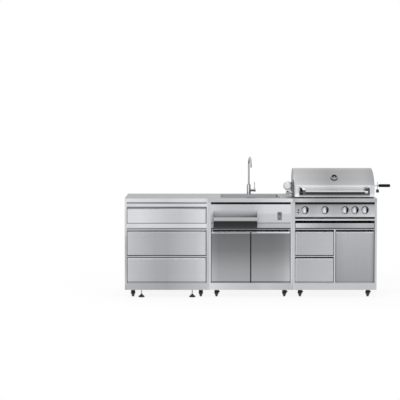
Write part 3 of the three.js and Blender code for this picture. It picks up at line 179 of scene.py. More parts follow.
def shaded(metal, colour, place, shades):
    """Multiplies a colour by each painted shade of light: an axis, its two ends in metres and stops of
    light.
    """
    for axis, low, high, stops in shades:
        along = metal.add("ShaderNodeSeparateXYZ", {}, {0: place}, output="xyz".index(axis))
        bands = metal.add("ShaderNodeValToRGB", {"stops": stops}, {0: (along - low) * (1 / (high - low))})
        multiply = {"data_type": "RGBA", "blend_type": "MULTIPLY"}
        colour = metal.add("ShaderNodeMix", multiply, {0: 1.0, 6: colour, 7: bands}, output=2)
    return colour


def brushed(name, level, grain, roughness=0.36, shades=(), edge=1.0, cast=cool_cast):
    """Stainless sheet with a brushed grain along one axis, faint clouding, rubbed marks and the painted
    light of any shades.
    """
    steel, place = new_finish(name)
    across = [0.004 if axis == grain else 1 for axis in "xyz"]
    fine = noise(steel, place, [1400 * share for share in across])
    broad = noise(steel, place, [130 * share for share in across])
    clouds = noise(steel, place, 2.6)
    rubbed = noise(steel, place, 21, 4.0)
    mixing = fine * 0.35 + broad * 0.25 + clouds * 0.25 + rubbed * 0.15
    colour = shaded(steel, blend(steel, mixing, level, 0.86, 1.14, cast), place, shades)
    worn = roughness - 0.08 + fine * 0.08 + rubbed * 0.05 + clouds * 0.03
    metal = {"Metallic": 1.0, "Specular Tint": (edge, edge, edge, 1)}
    return surface(steel, colour, worn, (0.12, 0.0004, fine + rubbed * 0.4), metal)


def painted_sheen_steel(name, cabinet, grain, roughness, along, across=None, usual=255, edge=1.0, cast=cool_cast):
    """Brushed sheet with painted sheen: its tone of reflected light and shade is given along one axis, or
    along two. The second list is a share of its usual tone, the one at which the first list holds."""
    level, shade = sheen(cabinet, *along)
    level *= 1.06
    shades = [shade]
    if across:
        brightest, shade = sheen(cabinet, *across)
        level *= brightest / linear(usual)
        shades.append(shade)
    return brushed(name, level, grain, roughness, shades, edge, cast)


def merged_copy(node, cabinet):
    """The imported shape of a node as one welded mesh, measured from its cabinet's corner."""
    bm = bmesh.new()
    bm.from_mesh(frame["nodes"][node].data)
    corner = Matrix.Translation((-cabinet_left[cabinet], -front_plane, 0))
    bmesh.ops.transform(bm, matrix=corner @ Matrix.Scale(1000, 4), verts=bm.verts)
    bmesh.ops.remove_doubles(bm, verts=bm.verts, dist=0.01)
    bmesh.ops.dissolve_limit(bm, angle_limit=math.radians(0.4), verts=bm.verts, edges=bm.edges)
    return bm


def stand(name, data):
    """Puts new data into the scene as an object."""
    thing = bpy.data.objects.new(name, data)
    bpy.context.scene.collection.objects.link(thing)
    return thing


def settle(name, bm, cabinet, finishes, body="root", node=None, fold=0.0, crisp=35):
    """Makes a piece of a mesh that is measured from its cabinet's left front corner at the floor."""
    corner = Matrix.Translation((cabinet_left[cabinet], front_plane, 0))
    bmesh.ops.transform(bm, matrix=Matrix.Scale(0.001, 4) @ corner, verts=bm.verts)
    mesh = bpy.data.meshes.new(name)
    bm.to_mesh(mesh)
    bm.free()
    mesh.shade_smooth()
    mesh.set_sharp_from_angle(angle=math.radians(crisp))
    for finish in finishes:
        mesh.materials.append(finish.material)
    piece = stand(name, mesh)
    if fold:
        edge = piece.modifiers.new("fold radius", "BEVEL")
        edge.limit_method = "ANGLE"
        edge.angle_limit = math.radians(30)
        edge.width = fold / 1000
        edge.segments = 2
        edge.harden_normals = True
    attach(piece, body)
    if node:
        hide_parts(node)
    return piece


def cut_front(bm, cuts, depth=22):
    """Cuts the sheet's front faces at heights and at distances from the left."""
    for axis, place in cuts:
        faces = [face for face in bm.faces if face.normal.y < -0.5 and face.calc_center_median().y < depth]
        edges = {edge for face in faces for edge in face.edges}
        verts = {vert for face in faces for vert in face.verts}
        normal = Vector(rightward if axis == "x" else upward)
        bmesh.ops.bisect_plane(
            bm, geom=[*faces, *edges, *verts], plane_co=normal * place, plane_no=normal, dist=0.01
        )


def close_holes(bm):
    """Fills every open loop of a sheet."""
    bmesh.ops.holes_fill(bm, edges=[edge for edge in bm.edges if edge.is_boundary], sides=0)


base_height = 75
plinth_top = 142
beltline = 650
groove_foot, groove_top = 659, 668
recess_foot = 893
stile_width, stile_depth = 21, 20
divider_left, divider_right = 392, 407
# The shell carries painted shade: darker towards the floor and a little towards the top.
shell_steel = brushed("shell_steel", 0.6, "z", 0.36, [("z", 0.08, 0.9, [(0, 0.86), (0.5, 1), (1, 0.94)])])
# Painted sheen on the fronts: tones of reflected light along the stiles, plinths and rails, and their
# falling off with height. The recess under the worktop and the groove at the belt take painted shade, near
# black on the sink and grill cabinets.
left_stile_sheen = {
    "drawer": [(80, 170), (150, 190), (300, 180), (500, 180), (570, 186), (640, 203), (900, 218)],
    "sink": [(80, 215), (200, 207), (900, 203)],
    "grill": [(80, 197), (900, 202)],
}
right_stile_sheen = {
    "drawer": [(80, 196), (350, 187), (900, 212)],
    "sink": [(80, 182), (200, 206), (900, 202)],
    "grill": [(80, 195), (600, 199), (900, 192)],
}
plinth_sheen = {
    "drawer": [(40, 178), (403, 162), (755, 190)],
    "sink": [(31, 216), (155, 203), (412, 190), (536, 194), (755, 186)],
    "grill": [(30, 195), (736, 192)],
}
rail_sheen = {
    "drawer": [(40, 212), (145, 216), (527, 206), (755, 224)],
    "sink": [(31, 206), (155, 192), (412, 190), (536, 211), (755, 217)],
    "grill": [(30, 205), (498, 205), (736, 198)],
}
rail_sheen_fall = {
    "drawer": [(390, 190), (660, 182), (667, 213), (900, 212)],
    "sink": [
        (649, 145), (660, 145), (667, 180), (706, 182), (709, 160), (714, 156), (721, 168), (724, 196),
        (798, 198), (812, 211), (900, 212),
    ],
    "grill": [(390, 192), (660, 184), (756, 206)],
}
rail_usual = {"drawer": 212, "sink": 211, "grill": 206}
recess_shade_tones = {
    "drawer": [(40, 196), (403, 160), (755, 178)],
    "sink": [(40, 46), (400, 32), (755, 34)],
    "grill": [(40, 44), (400, 40), (755, 38)],
}
groove_shade = ("z", [(650, 150), (668, 150), (700, 196), (920, 196)])
for cabinet in cabinet_left:
    rails = ("x", rail_sheen[cabinet]), ("z", rail_sheen_fall[cabinet]), rail_usual[cabinet]
    recess = ("x", recess_shade_tones[cabinet]), groove_shade if cabinet == "drawer" else None, 196
    finishes = [
        shell_steel,
        painted_sheen_steel(f"{cabinet}_left_stile_sheen", cabinet, "z", 0.36, ("z", left_stile_sheen[cabinet])),
        painted_sheen_steel(f"{cabinet}_right_stile_sheen", cabinet, "z", 0.36, ("z", right_stile_sheen[cabinet])),
        painted_sheen_steel(f"{cabinet}_plinth", cabinet, "x", 0.34, ("x", plinth_sheen[cabinet])),
        painted_sheen_steel(f"{cabinet}_rails", cabinet, "x", 0.34, *rails),
        painted_sheen_steel(f"{cabinet}_recess", cabinet, "x", 0.4, *recess),
    ]
    node = f"{cabinet}_cabinet"
    bm = merged_copy(node, cabinet)
    hoods = [face for face in bm.faces if min(vert.co.z for vert in face.verts) < base_height - 0.1]
    bmesh.ops.delete(bm, geom=hoods, context="FACES")
    close_holes(bm)
    bm.normal_update()
    cuts = [("x", stile_width), ("x", cabinet_width - stile_width), ("z", plinth_top)]
    if cabinet == "grill":
        cuts += [("x", divider_left), ("x", divider_right), ("z", beltline)]
    cut_front(bm, cuts)
    for face in bm.faces:
        x, y, z = face.calc_center_median()
        on_divider = divider_left < x < divider_right and plinth_top < z < beltline
        if face.normal.y > -0.5 or y > stile_depth + 2.5:
            face.material_index = 0
        # The recess and the groove take the painted shade.
        elif z > recess_foot and y > stile_depth - 2 or groove_foot < z < groove_top and y > 2.5:
            face.material_index = 5
        elif x < stile_width or cabinet == "grill" and on_divider:
            face.material_index = 1
        elif x > cabinet_width - stile_width:
            face.material_index = 2
        else:
            face.material_index = 3 if z < plinth_top else 4
    settle(f"{cabinet}_carcass", bm, cabinet, finishes, node=node, fold=0.6)


# Pop rivets round the back panels, which hold them to the returns of the sides and to the rails.
# Aluminium heads, six millimetres across.
rivet_metal = brushed("rivet_metal", 0.62, "x", 0.42)
rivet_head = [(0, -0.5), (3.2, -0.5), (3.2, 0.1), (2.2, 0.4), (0, 0.5)]
back_plane = 600
rivet_inset, rivet_rows = 14, (110, 900)


def bar(bm, x0, x1, y0, y1, z0, z1, finish=0):
    """A block between two corners."""
    middle = Matrix.Translation(((x0 + x1) / 2, (y0 + y1) / 2, (z0 + z1) / 2))
    size = Matrix.Diagonal((x1 - x0, y1 - y0, z1 - z0, 1))
    verts = bmesh.ops.create_cube(bm, size=1, matrix=middle @ size)["verts"]
    for face in {face for vert in verts for face in vert.link_faces}:
        face.material_index = finish
    return verts


def lathe(bm, outline, centre, axis, steps=40):
    """Spins an outline of radius and distance along the axis into a closed turned shape."""
    known = set(bm.faces)
    along = Vector(axis)
    outward = Vector(rightward if abs(along.z) > 0.5 else upward)
    places = [Vector(centre) + along * height + outward * radius for radius, height in outline]
    verts = [bm.verts.new(place) for place in places]
    edges = [bm.edges.new(pair) for pair in zip(verts, verts[1:])]
    turn = 2 * math.pi
    bmesh.ops.spin(
        bm, geom=verts + edges, cent=centre, axis=along, angle=turn, steps=steps, use_merge=True
    )
    touched = list({vert for face in bm.faces if face not in known for vert in face.verts})
    bmesh.ops.remove_doubles(bm, verts=touched, dist=0.001)
    faces = [face for face in bm.faces if face not in known]
    bmesh.ops.recalc_face_normals(bm, faces=faces)
    return faces


for cabinet in cabinet_left:
    bm = bmesh.new()
    sides = rivet_inset, cabinet_width - rivet_inset
    rivets = [(x, z) for x in sides for z in range(130, 900, 95)]
    rivets += [(x, z) for x in range(110, 760, 116) for z in rivet_rows]
    for x, z in rivets:
        lathe(bm, rivet_head, (x, back_plane, z), rearward, 10)
    settle(f"{cabinet}_back_rivets", bm, cabinet, [rivet_metal])


# Casters: a moulded black hood over a narrow rubber-tyred wheel, turning on a plated stem at the
# front and fixed under the rear. The sink and grill cabinets' front casters have a pointed brake tab.
axle_height = 25
hood_radius, hood_half = 34, 21.5
hood_cut = 14
leg_top, leg_foot = 33, 22
leg_share = 0.63
front_stem_y, front_wheel_y, rear_wheel_y = 70, 84, 490
tab_front, tab_back = 73, 95
tyre_sides = 18.8
axle_half, axle_cover = 11.8, 12.9
stem_foot, stem_top, stem_radius = 70, 96.8, 5.5
nut_foot, nut_top, nut_radius = 80, 86, 9
screw_cap = [(0, 0), (6, 0), (5.5, 1), (3, 1.2), (2.4, 0.5), (0, 0.5)]
neck = [(0, 53), (15, 53), (18.6, 55), (20, 59), (20, 67), (21.2, 70.4), (21.5, 72), (21.5, 73.8)]
neck += [(20.6, 74.7), (0, 74.7)]
tread = [(0, -7), (9, -7), (10, -6), (17, -5.4), (18.5, -6.6), (19, -9), (22.5, -9)]
tread += [(24.3, -8.2), (25, -6.6), (25, -2), (24.5, -0.8)]
tread += [(radius, -half) for radius, half in reversed(tread)]


def moulded(name, level, roughness, grain_height=0.25, gloss=0.45):
    """Moulded plastic with a fine spark-eroded texture and paler rubbed patches."""
    plastic, place = new_finish(name)
    pores = noise(plastic, place, 900)
    dust = noise(plastic, place, 24, 3.0)
    colour = blend(plastic, dust, level, 0.6, 1.5)
    worn = roughness - 0.06 + dust * 0.12
    return surface(plastic, colour, worn, (grain_height, 0.0003, pores), {"Specular IOR Level": gloss})


def polished(name, level, roughness=0.07, shades=()):
    """Chromed or polished steel with a trace of wiping haze, and the painted light of any shades."""
    chrome, place = new_finish(name)
    haze = noise(chrome, place, 38, 3.0)
    wiping = noise(chrome, place, [700, 90, 700])
    colour = shaded(chrome, blend(chrome, haze, level, 0.94, 1.04), place, shades)
    worn = roughness - 0.02 + haze * 0.05 + wiping * 0.02
    return surface(chrome, colour, worn, (0.03, 0.0002, wiping), {"Metallic": 1.0})


hood_plastic = moulded("hood_plastic", 0.022, 0.34)
tyre_rubber = moulded("tyre_rubber", 0.02, 0.7, 0.5)
plated_steel = polished("plated_steel", 0.62, 0.2)


def rod(bm, start, end, radius, sides=20, end_radius=None):
    """A round rod between two points, or a taper where it ends with another radius."""
    start, end = Vector(start), Vector(end)
    turn = (end - start).to_track_quat("Z", "Y").to_matrix().to_4x4()
    bmesh.ops.create_cone(
        bm,
        cap_ends=True,
        segments=sides,
        radius1=radius,
        radius2=radius if end_radius is None else end_radius,
        depth=(end - start).length,
        matrix=Matrix.Translation((start + end) / 2) @ turn,
    )


def points_of(parts):
    """The points among the parts that an operation gives back."""
    return [part for part in parts if isinstance(part, bmesh.types.BMVert)]


def edges_of(parts):
    """The edges among the parts that an operation gives back."""
    return [part for part in parts if isinstance(part, bmesh.types.BMEdge)]


def extruded(bm, corners, y0, y1, finish=0):
    """A block whose outline is drawn on the front plane, between two depths."""
    known = set(bm.faces)
    outline = bm.faces.new([bm.verts.new((x, y1, z)) for x, z in corners])
    for vert in points_of(bmesh.ops.extrude_face_region(bm, geom=[outline])["geom"]):
        vert.co.y = y0
    faces = [face for face in bm.faces if face not in known]
    bmesh.ops.recalc_face_normals(bm, faces=faces)
    for face in faces:
        face.material_index = finish


def caster_hood(bm, x, y):
    """The hood's drum is spun about the axle, cut open below, drawn in to its two legs and given a
    wall."""
    steps = 14
    outline = []
    for step in range(steps + 1):
        turn = math.pi * (step / steps - 0.5)
        half = math.copysign(abs(math.sin(turn)) ** 0.55, turn) * hood_half
        outline.append((hood_radius * max(math.cos(turn), 0) ** 0.45, half))
    faces = lathe(bm, outline, (x, y, axle_height), rightward, 60)
    verts = list({vert for face in faces for vert in face.verts})
    edges = list({edge for face in faces for edge in face.edges})
    cut = (x, y, axle_height - hood_cut)
    downward = (0, 0, -1)
    bmesh.ops.bisect_plane(
        bm, geom=verts + edges + faces, plane_co=cut, plane_no=downward, clear_outer=True
    )
    for vert in bm.verts:
        rise = min(max((vert.co.z - leg_foot) / (leg_top - leg_foot), 0), 1)
        share = leg_share + (1 - leg_share) * rise * rise * (3 - 2 * rise)
        vert.co.x = x + (vert.co.x - x) * share
    bmesh.ops.solidify(bm, geom=bm.faces[:], thickness=2.2)


for cabinet in cabinet_left:
    for side, x in (("left", 75), ("right", 725)):
        label = f"{cabinet}_{side}"
        fork = f"caster_fork_{label}"
        bm = bmesh.new()
        caster_hood(bm, x, front_wheel_y)
        lathe(bm, neck, (x, front_stem_y, 0), upward)
        for flank in (-1, 1):
            cover = (x + flank * axle_cover, front_wheel_y, axle_height)
            lathe(bm, screw_cap, cover, (flank, 0, 0), 20)
        if cabinet != "drawer":
            tab = [(x + 11, 60), (x + 11, 35), (x + 20, 39), (x + 31.5, 44), (x + 31.5, 51), (x + 24, 58)]
            extruded(bm, tab, tab_back, tab_front)
        settle(f"caster_hood_{label}", bm, cabinet, [hood_plastic], fork, fork, fold=0.5)
        bm = bmesh.new()
        rod(bm, (x, front_stem_y, stem_foot), (x, front_stem_y, stem_top), stem_radius)
        rod(bm, (x, front_stem_y, nut_foot), (x, front_stem_y, nut_top), nut_radius, 6)
        settle(f"caster_stem_{label}", bm, cabinet, [plated_steel], fork, fold=0.3)

        bm = bmesh.new()
        caster_hood(bm, x, rear_wheel_y)
        lathe(bm, neck, (x, rear_wheel_y, 0), upward)
        bar(bm, x - 24, x + 24, rear_wheel_y - 24, rear_wheel_y + 24, 71, 74.8)
        settle(f"rear_caster_hood_{label}", bm, cabinet, [hood_plastic], fold=0.5)

        for wheel, y in ((f"front_wheel_{label}", front_wheel_y), (f"rear_wheel_{label}", rear_wheel_y)):
            bm = bmesh.new()
            for face in lathe(bm, tread, (x, y, axle_height), rightward, 48):
                centre = face.calc_center_median()
                face.material_index = int(math.hypot(centre.y - y, centre.z - axle_height) < tyre_sides)
            rod(bm, (x - axle_half, y, axle_height), (x + axle_half, y, axle_height), 3, 16)
            finishes = [tyre_rubber, hood_plastic]
            settle(f"{wheel}_tyre", bm, cabinet, finishes, wheel, wheel, crisp=28)


# Levelling feet of the drawer cabinet: a moulded cone pad on a threaded plated stem that screws up
# into the plinth channel.
foot_plastic = moulded("foot_plastic", 0.02, 0.42)
foot_y = 50
pad = [(0, 0), (29, 0), (30, 1), (30, 6), (29.2, 8), (25, 12), (18, 17.4), (12.6, 22.4), (10, 26.4)]
pad += [(8.4, 28), (0, 28)]
thread = [(0, 24)]
for turn in range(42):
    thread += [(4.9, 26 + 2 * turn), (5.5, 27 + 2 * turn)]
thread += [(4.9, 110), (4.2, 112), (0, 112)]
for side, x in (("left", 157), ("right", 643)):
    foot = f"levelling_foot_{side}"
    bm = bmesh.new()
    lathe(bm, pad, (x, foot_y, 0), upward, 48)
    settle(f"foot_pad_{side}", bm, "drawer", [foot_plastic], foot, foot)
    bm = bmesh.new()
    lathe(bm, thread, (x, foot_y, 0), upward, 20)
    settle(f"foot_stem_{side}", bm, "drawer", [plated_steel], foot, crisp=60)


# Five drawers: folded boxes of galvanised sheet on side slides, each behind a brushed stainless front
# whose top edge leans back as a finger grip. In the drawer cabinet a flange stands behind the finger
# gap, and lips close the gap over the bottom drawers and the reveal under them.
# Painted light on the fronts: sheen across their width, with painted highlight and shade at their edges.
# Each grip carries a painted highlight, and painted shade where the upper grill drawer's grip meets the gap
# over it. The flange behind the gap and the lip over the top drawer carry painted shade, and the bottom
# fronts carry painted shade at their foot by the reveal.
box_sheet = brushed("box_sheet", 0.42, "y", 0.45)
front_thickness = 21
upper_top, lower_top = 633, 374.5
lip_left, lip_right, lip_front, lip_back = 27, 773, 3, 5
flange_front, flange_back = 22.6, 24
reveal_foot, reveal_top = 143.5, 150.5
lower_front_sheen = [(26, 206), (34, 192), (288, 170), (403, 167), (670, 191), (755, 205), (766, 200), (774, 150)]
top_front_sheen = [(26, 230), (34, 217), (145, 219), (403, 198), (527, 195), (755, 219), (766, 210), (774, 180)]
grill_front_sheen = [(26, 224), (30, 218), (35, 178), (365, 186)]
foot_shade = ("z", [(143, 190), (150, 190), (151, 165), (157, 165), (159.5, 212), (640, 212)])
drawer_fronts = {
    "drawer_top": ("drawer", top_front_sheen, 854, -82),
    "drawer_middle": ("drawer", lower_front_sheen, upper_top, -28),
    "drawer_bottom": ("drawer", lower_front_sheen, lower_top, -70),
    "grill_drawer_upper": ("grill", grill_front_sheen, upper_top, 0),
    "grill_drawer_lower": ("grill", grill_front_sheen, lower_top, 0),
}


def lifted(tones, lift):
    """Painted light on a fold: the tones of a fold that catches more light than its front, or less."""
    return [(place, min(tone + lift, 250)) for place, tone in tones]


def grip_highlight_gap_shade(top):
    """Painted light up a leaning grip of the grill cabinet: a painted highlight, and painted shade where it
    meets the gap over it.
    """
    return "z", [(top - 13, 250), (top - 3, 250), (top - 1.5, 60), (top, 40)]


def paint_front(bm, top):
    """Gives a folded front its face, its leaning grip, which takes a painted highlight, and what is folded
    behind.
    """
    bm.normal_update()
    for face in bm.faces:
        centre = face.calc_center_median()
        if centre.y > front_thickness + 0.5:
            face.material_index = 2
        else:
            face.material_index = int(centre.z > top - 12 and face.normal.z > 0.3)


for drawer, (cabinet, tones, top, flange_shade) in drawer_fronts.items():
    fall = foot_shade if top == lower_top else None
    grip_shade_fall = grip_highlight_gap_shade(top) if drawer == "grill_drawer_upper" else None
    finishes = [
        painted_sheen_steel(f"{drawer}_steel", cabinet, "x", 0.34, ("x", tones), fall, 212),
        painted_sheen_steel(f"{drawer}_grip", cabinet, "x", 0.34, ("x", lifted(tones, 60)), grip_shade_fall, 205),
        box_sheet,
    ]
    bm = merged_copy(drawer, cabinet)
    paint_front(bm, top)
    if cabinet == "drawer":
        finishes.append(painted_sheen_steel(f"{drawer}_flange", cabinet, "x", 0.36, ("x", lifted(tones, flange_shade))))
        bar(bm, 23, 777, flange_front, flange_back, top - 46, top + 14.5, 3)
    if drawer == "drawer_top":
        bar(bm, lip_left, lip_right, lip_front, lip_back, 711.6, 716.5, 3)
    if top == lower_top:
        right, lip_height = (lip_right, 6) if cabinet == "drawer" else (divider_left - 1, 3)
        bar(bm, lip_left, right, lip_front, lip_back, top - 0.5, top + lip_height, 1)
        bar(bm, lip_left, right, lip_front, lip_back, reveal_foot, reveal_top)
    settle(f"{drawer}_folded", bm, cabinet, finishes, drawer, drawer, fold=0.8)


# Worktops: pans folded of thicker sheet with an apron all round. The sink's is cut out for the bowl
# and the faucet, and the grill's for the firebox.
# Painted reflections along the worktops and aprons; the sink's worktop is darkest at its right end, a
# painted reflection of the motor.
worktop_reflections = {
    "drawer_worktop": [(0, 163), (400, 166), (800, 171)],
    "sink_worktop": [(0, 174), (100, 174), (160, 156), (690, 156), (740, 140), (800, 106)],
    "grill_surround": [(0, 178), (400, 146), (600, 156), (800, 180)],
}
apron_sheen = {
    "drawer": [(0, 224), (403, 210), (755, 221), (800, 200)],
    "sink": [(0, 191), (412, 197), (800, 221)],
    "grill": [(0, 176), (69, 198), (212, 176), (330, 172), (700, 186), (800, 176)],
}
for worktop, tones in worktop_reflections.items():
    cabinet = worktop.split("_")[0]
    finishes = [
        painted_sheen_steel(f"{cabinet}_top_steel", cabinet, "x", 0.3, ("x", tones), edge=0.8),
        painted_sheen_steel(f"{cabinet}_apron_steel", cabinet, "x", 0.34, ("x", apron_sheen[cabinet])),
    ]
    bm = merged_copy(worktop, cabinet)
    bm.normal_update()
    for face in bm.faces:
        face.material_index = int(face.normal.z < 0.5)
    settle(f"{worktop}_pan", bm, cabinet, finishes, node=worktop, fold=1.2)


# Doors: folded fronts with a liner behind, turning on pivot pins at one edge. The grain runs upright,
# and the painted sheen brightens downwards under the sink and falls off downwards beside the grill
# drawers. Painted shade darkens their foot by the reveal and the sink doors' meeting edges, where a
# black sheet on the edge faces is painted shade too. The grips carry a painted highlight, the grill
# door's with painted shade where it meets the gap.
liner_sheet = brushed("liner_sheet", 0.4, "z", 0.45)
gap_painted_shade = brushed("gap_painted_shade", 0.015, "z", 0.5)
sink_cast = (0.965, 0.992, 1.045)
sink_sheen_fall = [(143, 165), (150, 165), (151, 118), (157, 118), (159.5, 196), (265, 186), (457, 145)]
sink_sheen_fall += [(612, 131), (616, 140), (619, 250), (633, 250)]
sink_sheen_across = [(31, 180), (100, 166), (393, 163), (395.5, 40), (404.5, 40), (407, 163), (600, 165)]
sink_sheen_across += [(700, 174), (766, 192)]
sink_sheen = ("z", sink_sheen_fall), ("x", sink_sheen_across), 184, 1.0, sink_cast
grill_sheen_fall = [(143, 178), (150, 178), (151, 138), (157, 138), (159.5, 157), (170, 158), (633, 181)]
grill_sheen_across = [(412, 172), (500, 180), (745, 180), (762, 165), (774, 140)]
grill_sheen = ("z", grill_sheen_fall), ("x", grill_sheen_across), 180
meeting_x = 400
for door, cabinet, left, right, tones, lift in (
    ("sink_door_left", "sink", lip_left, meeting_x - 2, sink_sheen, 250),
    ("sink_door_right", "sink", meeting_x + 2, lip_right, sink_sheen, 250),
    ("grill_door", "grill", divider_right + 2, lip_right, grill_sheen, 215),
):
    grip_shade_fall = grip_highlight_gap_shade(upper_top) if cabinet == "grill" else None
    flat = ("x", [(0, lift), (cabinet_width, lift)])
    door_steel = painted_sheen_steel(f"{door}_steel", cabinet, "z", 0.34, *tones)
    grip_steel = painted_sheen_steel(f"{door}_grip", cabinet, "x", 0.34, flat, grip_shade_fall, 205)
    bm = merged_copy(door, cabinet)
    paint_front(bm, upper_top)
    for face in bm.faces:
        if face.normal.y > 0.7:
            face.material_index = 2
        elif abs(face.normal.x) > 0.7 and abs(face.calc_center_median().x - meeting_x) < 8:
            face.material_index = 3
    bar(bm, left, right, lip_front, lip_back, reveal_foot, reveal_top)
    finishes = [door_steel, grip_steel, liner_sheet, gap_painted_shade]
    settle(f"{door}_folded", bm, cabinet, finishes, door, door, fold=0.8)


# Bottle rail: an open trough of sheet screwed to the sink cabinet's front, with an upright lip that
# carries a painted highlight and a front that slants inwards below it, darkened by a painted
# reflection. Painted shade darkens the trough towards its floor. Its two fixing screws show inside.
trough_left, trough_right, trough_lip, trough_screws = 46, 458, 744, 812
trough_shaded_steel = painted_sheen_steel("rail_steel", "sink", "x", 0.36, ("z", [(670, 90), (744, 124), (778, 132), (831, 186)]))
lip_highlight_steel = painted_sheen_steel("lip_highlight_steel", "sink", "x", 0.32, ("z", [(744, 172), (760, 176), (774, 182), (778, 170)]))
slanted_reflection_steel = painted_sheen_steel("slanted_reflection_steel", "sink", "x", 0.4, ("z", [(666, 74), (690, 60), (730, 50), (744, 66)]))


def screw(bm, centre, axis, radius):
    """A pan-head screw with a countersunk recess."""
    head = [(0, -0.4), (radius, -0.4), (radius, 0.4), (radius * 0.8, 1.3), (radius * 0.4, 1.8)]
    lathe(bm, [*head, (radius * 0.3, 0.9), (0, 0.7)], centre, axis, 16)


bm = merged_copy("bottle_rail", "sink")
for face in bm.faces:
    centre = face.calc_center_median()
    if centre.y < -90 and trough_lip - 1 < centre.z:
        face.material_index = 1
    elif face.normal.y < -0.3 and face.normal.z < -0.1:
        face.material_index = 2
finishes = [trough_shaded_steel, lip_highlight_steel, slanted_reflection_steel]
settle("bottle_rail_trough", bm, "sink", finishes, node="bottle_rail", fold=0.6)
bm = bmesh.new()
for x in (trough_left + 40, trough_right - 40):
    screw(bm, (x, -2.5, trough_screws), forward, 5)
settle("bottle_rail_screws", bm, "sink", [plated_steel])


# Bottle opener: a hook pressed and bent from one strip of steel plate. Two dark screws, one over the
# other, hold it to the front of the sink cabinet.
opener_x, opener_screws = 674, (752, 810)
opener_steel = polished("opener_steel", 0.24, 0.24)
bm = merged_copy("bottle_opener", "sink")
settle("bottle_opener_hook", bm, "sink", [opener_steel], node="bottle_opener", fold=1.0)
bm = bmesh.new()
for z in opener_screws:
    screw(bm, (opener_x, -3.2, z), forward, 4.5)
settle("bottle_opener_screws", bm, "sink", [hood_plastic])


# Sink bowl: a basin pressed from stainless sheet with rounded corners, a flat floor round a stepped
# drain, and a flat rim that lies on the worktop.
bowl_left, bowl_right, bowl_front, bowl_back = 126, 674, 138, 474
bowl_middle = ((bowl_left + bowl_right) / 2, (bowl_front + bowl_back) / 2)
bowl_floor, rim_top = 760, 952.3
bowl_corner, bowl_rim = 22, 14
drain_radius = 45
drain_steps = ((44, 758), (43, 749), (41, 748.2), (31, 748.2))
bowl_steel = brushed("bowl_steel", 0.35, "x", 0.3, edge=0.7)


def rounded(bm, edges, radius, segments):
    """Rounds edges with arcs."""
    bmesh.ops.bevel(
        bm, geom=edges, offset=radius, affect="EDGES", segments=segments, profile=0.5, material=-1
    )


def pulled(bm, edges, goal):
    """Extrudes edges, moves each new point to the goal of its place, and returns the new edges."""
    grown = bmesh.ops.extrude_edge_only(bm, edges=edges)["geom"]
    for vert in points_of(grown):
        vert.co = goal(vert.co)
    return edges_of(grown)


def on_circle(place, radius, height):
    """The point of a circle round the drain that lies in the same direction."""
    outward = Vector((place.x - bowl_middle[0], place.y - bowl_middle[1], 0)).normalized()
    return Vector((*bowl_middle, height)) + outward * radius


def beyond_wall(place, reach, height):
    """Where a point of the mouth goes when it moves outwards from the wall, round its corner."""
    across = min(max(place.x, bowl_left + bowl_corner), bowl_right - bowl_corner)
    along = min(max(place.y, bowl_front + bowl_corner), bowl_back - bowl_corner)
    outward = Vector((place.x - across, place.y - along)).normalized() * (bowl_corner + reach)
    return across + outward.x, along + outward.y, height


bm = bmesh.new()
bar(bm, bowl_left, bowl_right, bowl_front, bowl_back, bowl_floor, rim_top - 1)
bmesh.ops.delete(bm, geom=[face for face in bm.faces if face.normal.z > 0.5], context="FACES_ONLY")
rounded(bm, [edge for edge in bm.edges if abs(edge.verts[0].co.z - edge.verts[1].co.z) > 1], bowl_corner, 8)
on_floor = bowl_floor + 1
rounded(bm, [edge for edge in bm.edges if max(vert.co.z for vert in edge.verts) < on_floor], 10, 5)
bottom = max(bm.faces, key=lambda face: face.calc_area() * (face.calc_center_median().z < on_floor))
bottom_edges = list(bottom.edges)
bmesh.ops.delete(bm, geom=[bottom], context="FACES_ONLY")
at_drain = Matrix.Translation((*bowl_middle, bowl_floor))
drain = bmesh.ops.create_circle(bm, segments=48, radius=drain_radius, matrix=at_drain)["verts"]
drain_edges = list({edge for vert in drain for edge in vert.link_edges})
bmesh.ops.bridge_loops(bm, edges=bottom_edges + drain_edges)
for radius, height in drain_steps:
    drain_edges = pulled(bm, drain_edges, lambda place: on_circle(place, radius, height))
mouth = [edge for edge in bm.edges if edge.is_boundary and edge.verts[0].co.z > bowl_floor + 50]
for reach, height in ((0.8, rim_top), (bowl_rim - 0.6, rim_top), (bowl_rim, rim_top - 1.6)):
    mouth = pulled(bm, mouth, lambda place: beyond_wall(place, reach, height))
bmesh.ops.recalc_face_normals(bm, faces=bm.faces)
if max(bm.faces, key=lambda face: face.calc_center_median().z).normal.z < 0:
    bmesh.ops.reverse_faces(bm, faces=bm.faces)
bowl = settle("sink_basin", bm, "sink", [bowl_steel], node="sink_bowl", crisp=40)
wall = bowl.modifiers.new("sheet", "SOLIDIFY")
wall.thickness = 0.0015
wall.offset = -1.0


# Strainer: a chromed cup that drops into the drain, with a pierced disc whose holes are black discs of
# painted shade, a lift knob and the first length of the waste pipe screwed on below with a ribbed nut.
bright_chrome = polished("bright_chrome", 0.7, 0.08)
waste_plastic = moulded("waste_plastic", 0.5, 0.5)
drain_foot = (*bowl_middle, 0)
cup = [(0, 717), (28, 717), (30, 719), (30, 747.6), (41, 748.4), (41, 749.6), (40, 750.3), (29, 750)]
cup += [(28, 747), (28, 719.5), (0, 719.5)]
disc = [(0, 735), (27.9, 735), (27.9, 737), (0, 737)]
lift = [(0, 737), (2.5, 737), (2.5, 744), (6, 746), (6, 748.5), (4, 750), (0, 750)]
bm = bmesh.new()
for outline, steps in ((cup, 48), (disc, 40), (lift, 24)):
    lathe(bm, outline, drain_foot, upward, steps)
settle("strainer_cup", bm, "sink", [bright_chrome], node="sink_strainer", crisp=40)
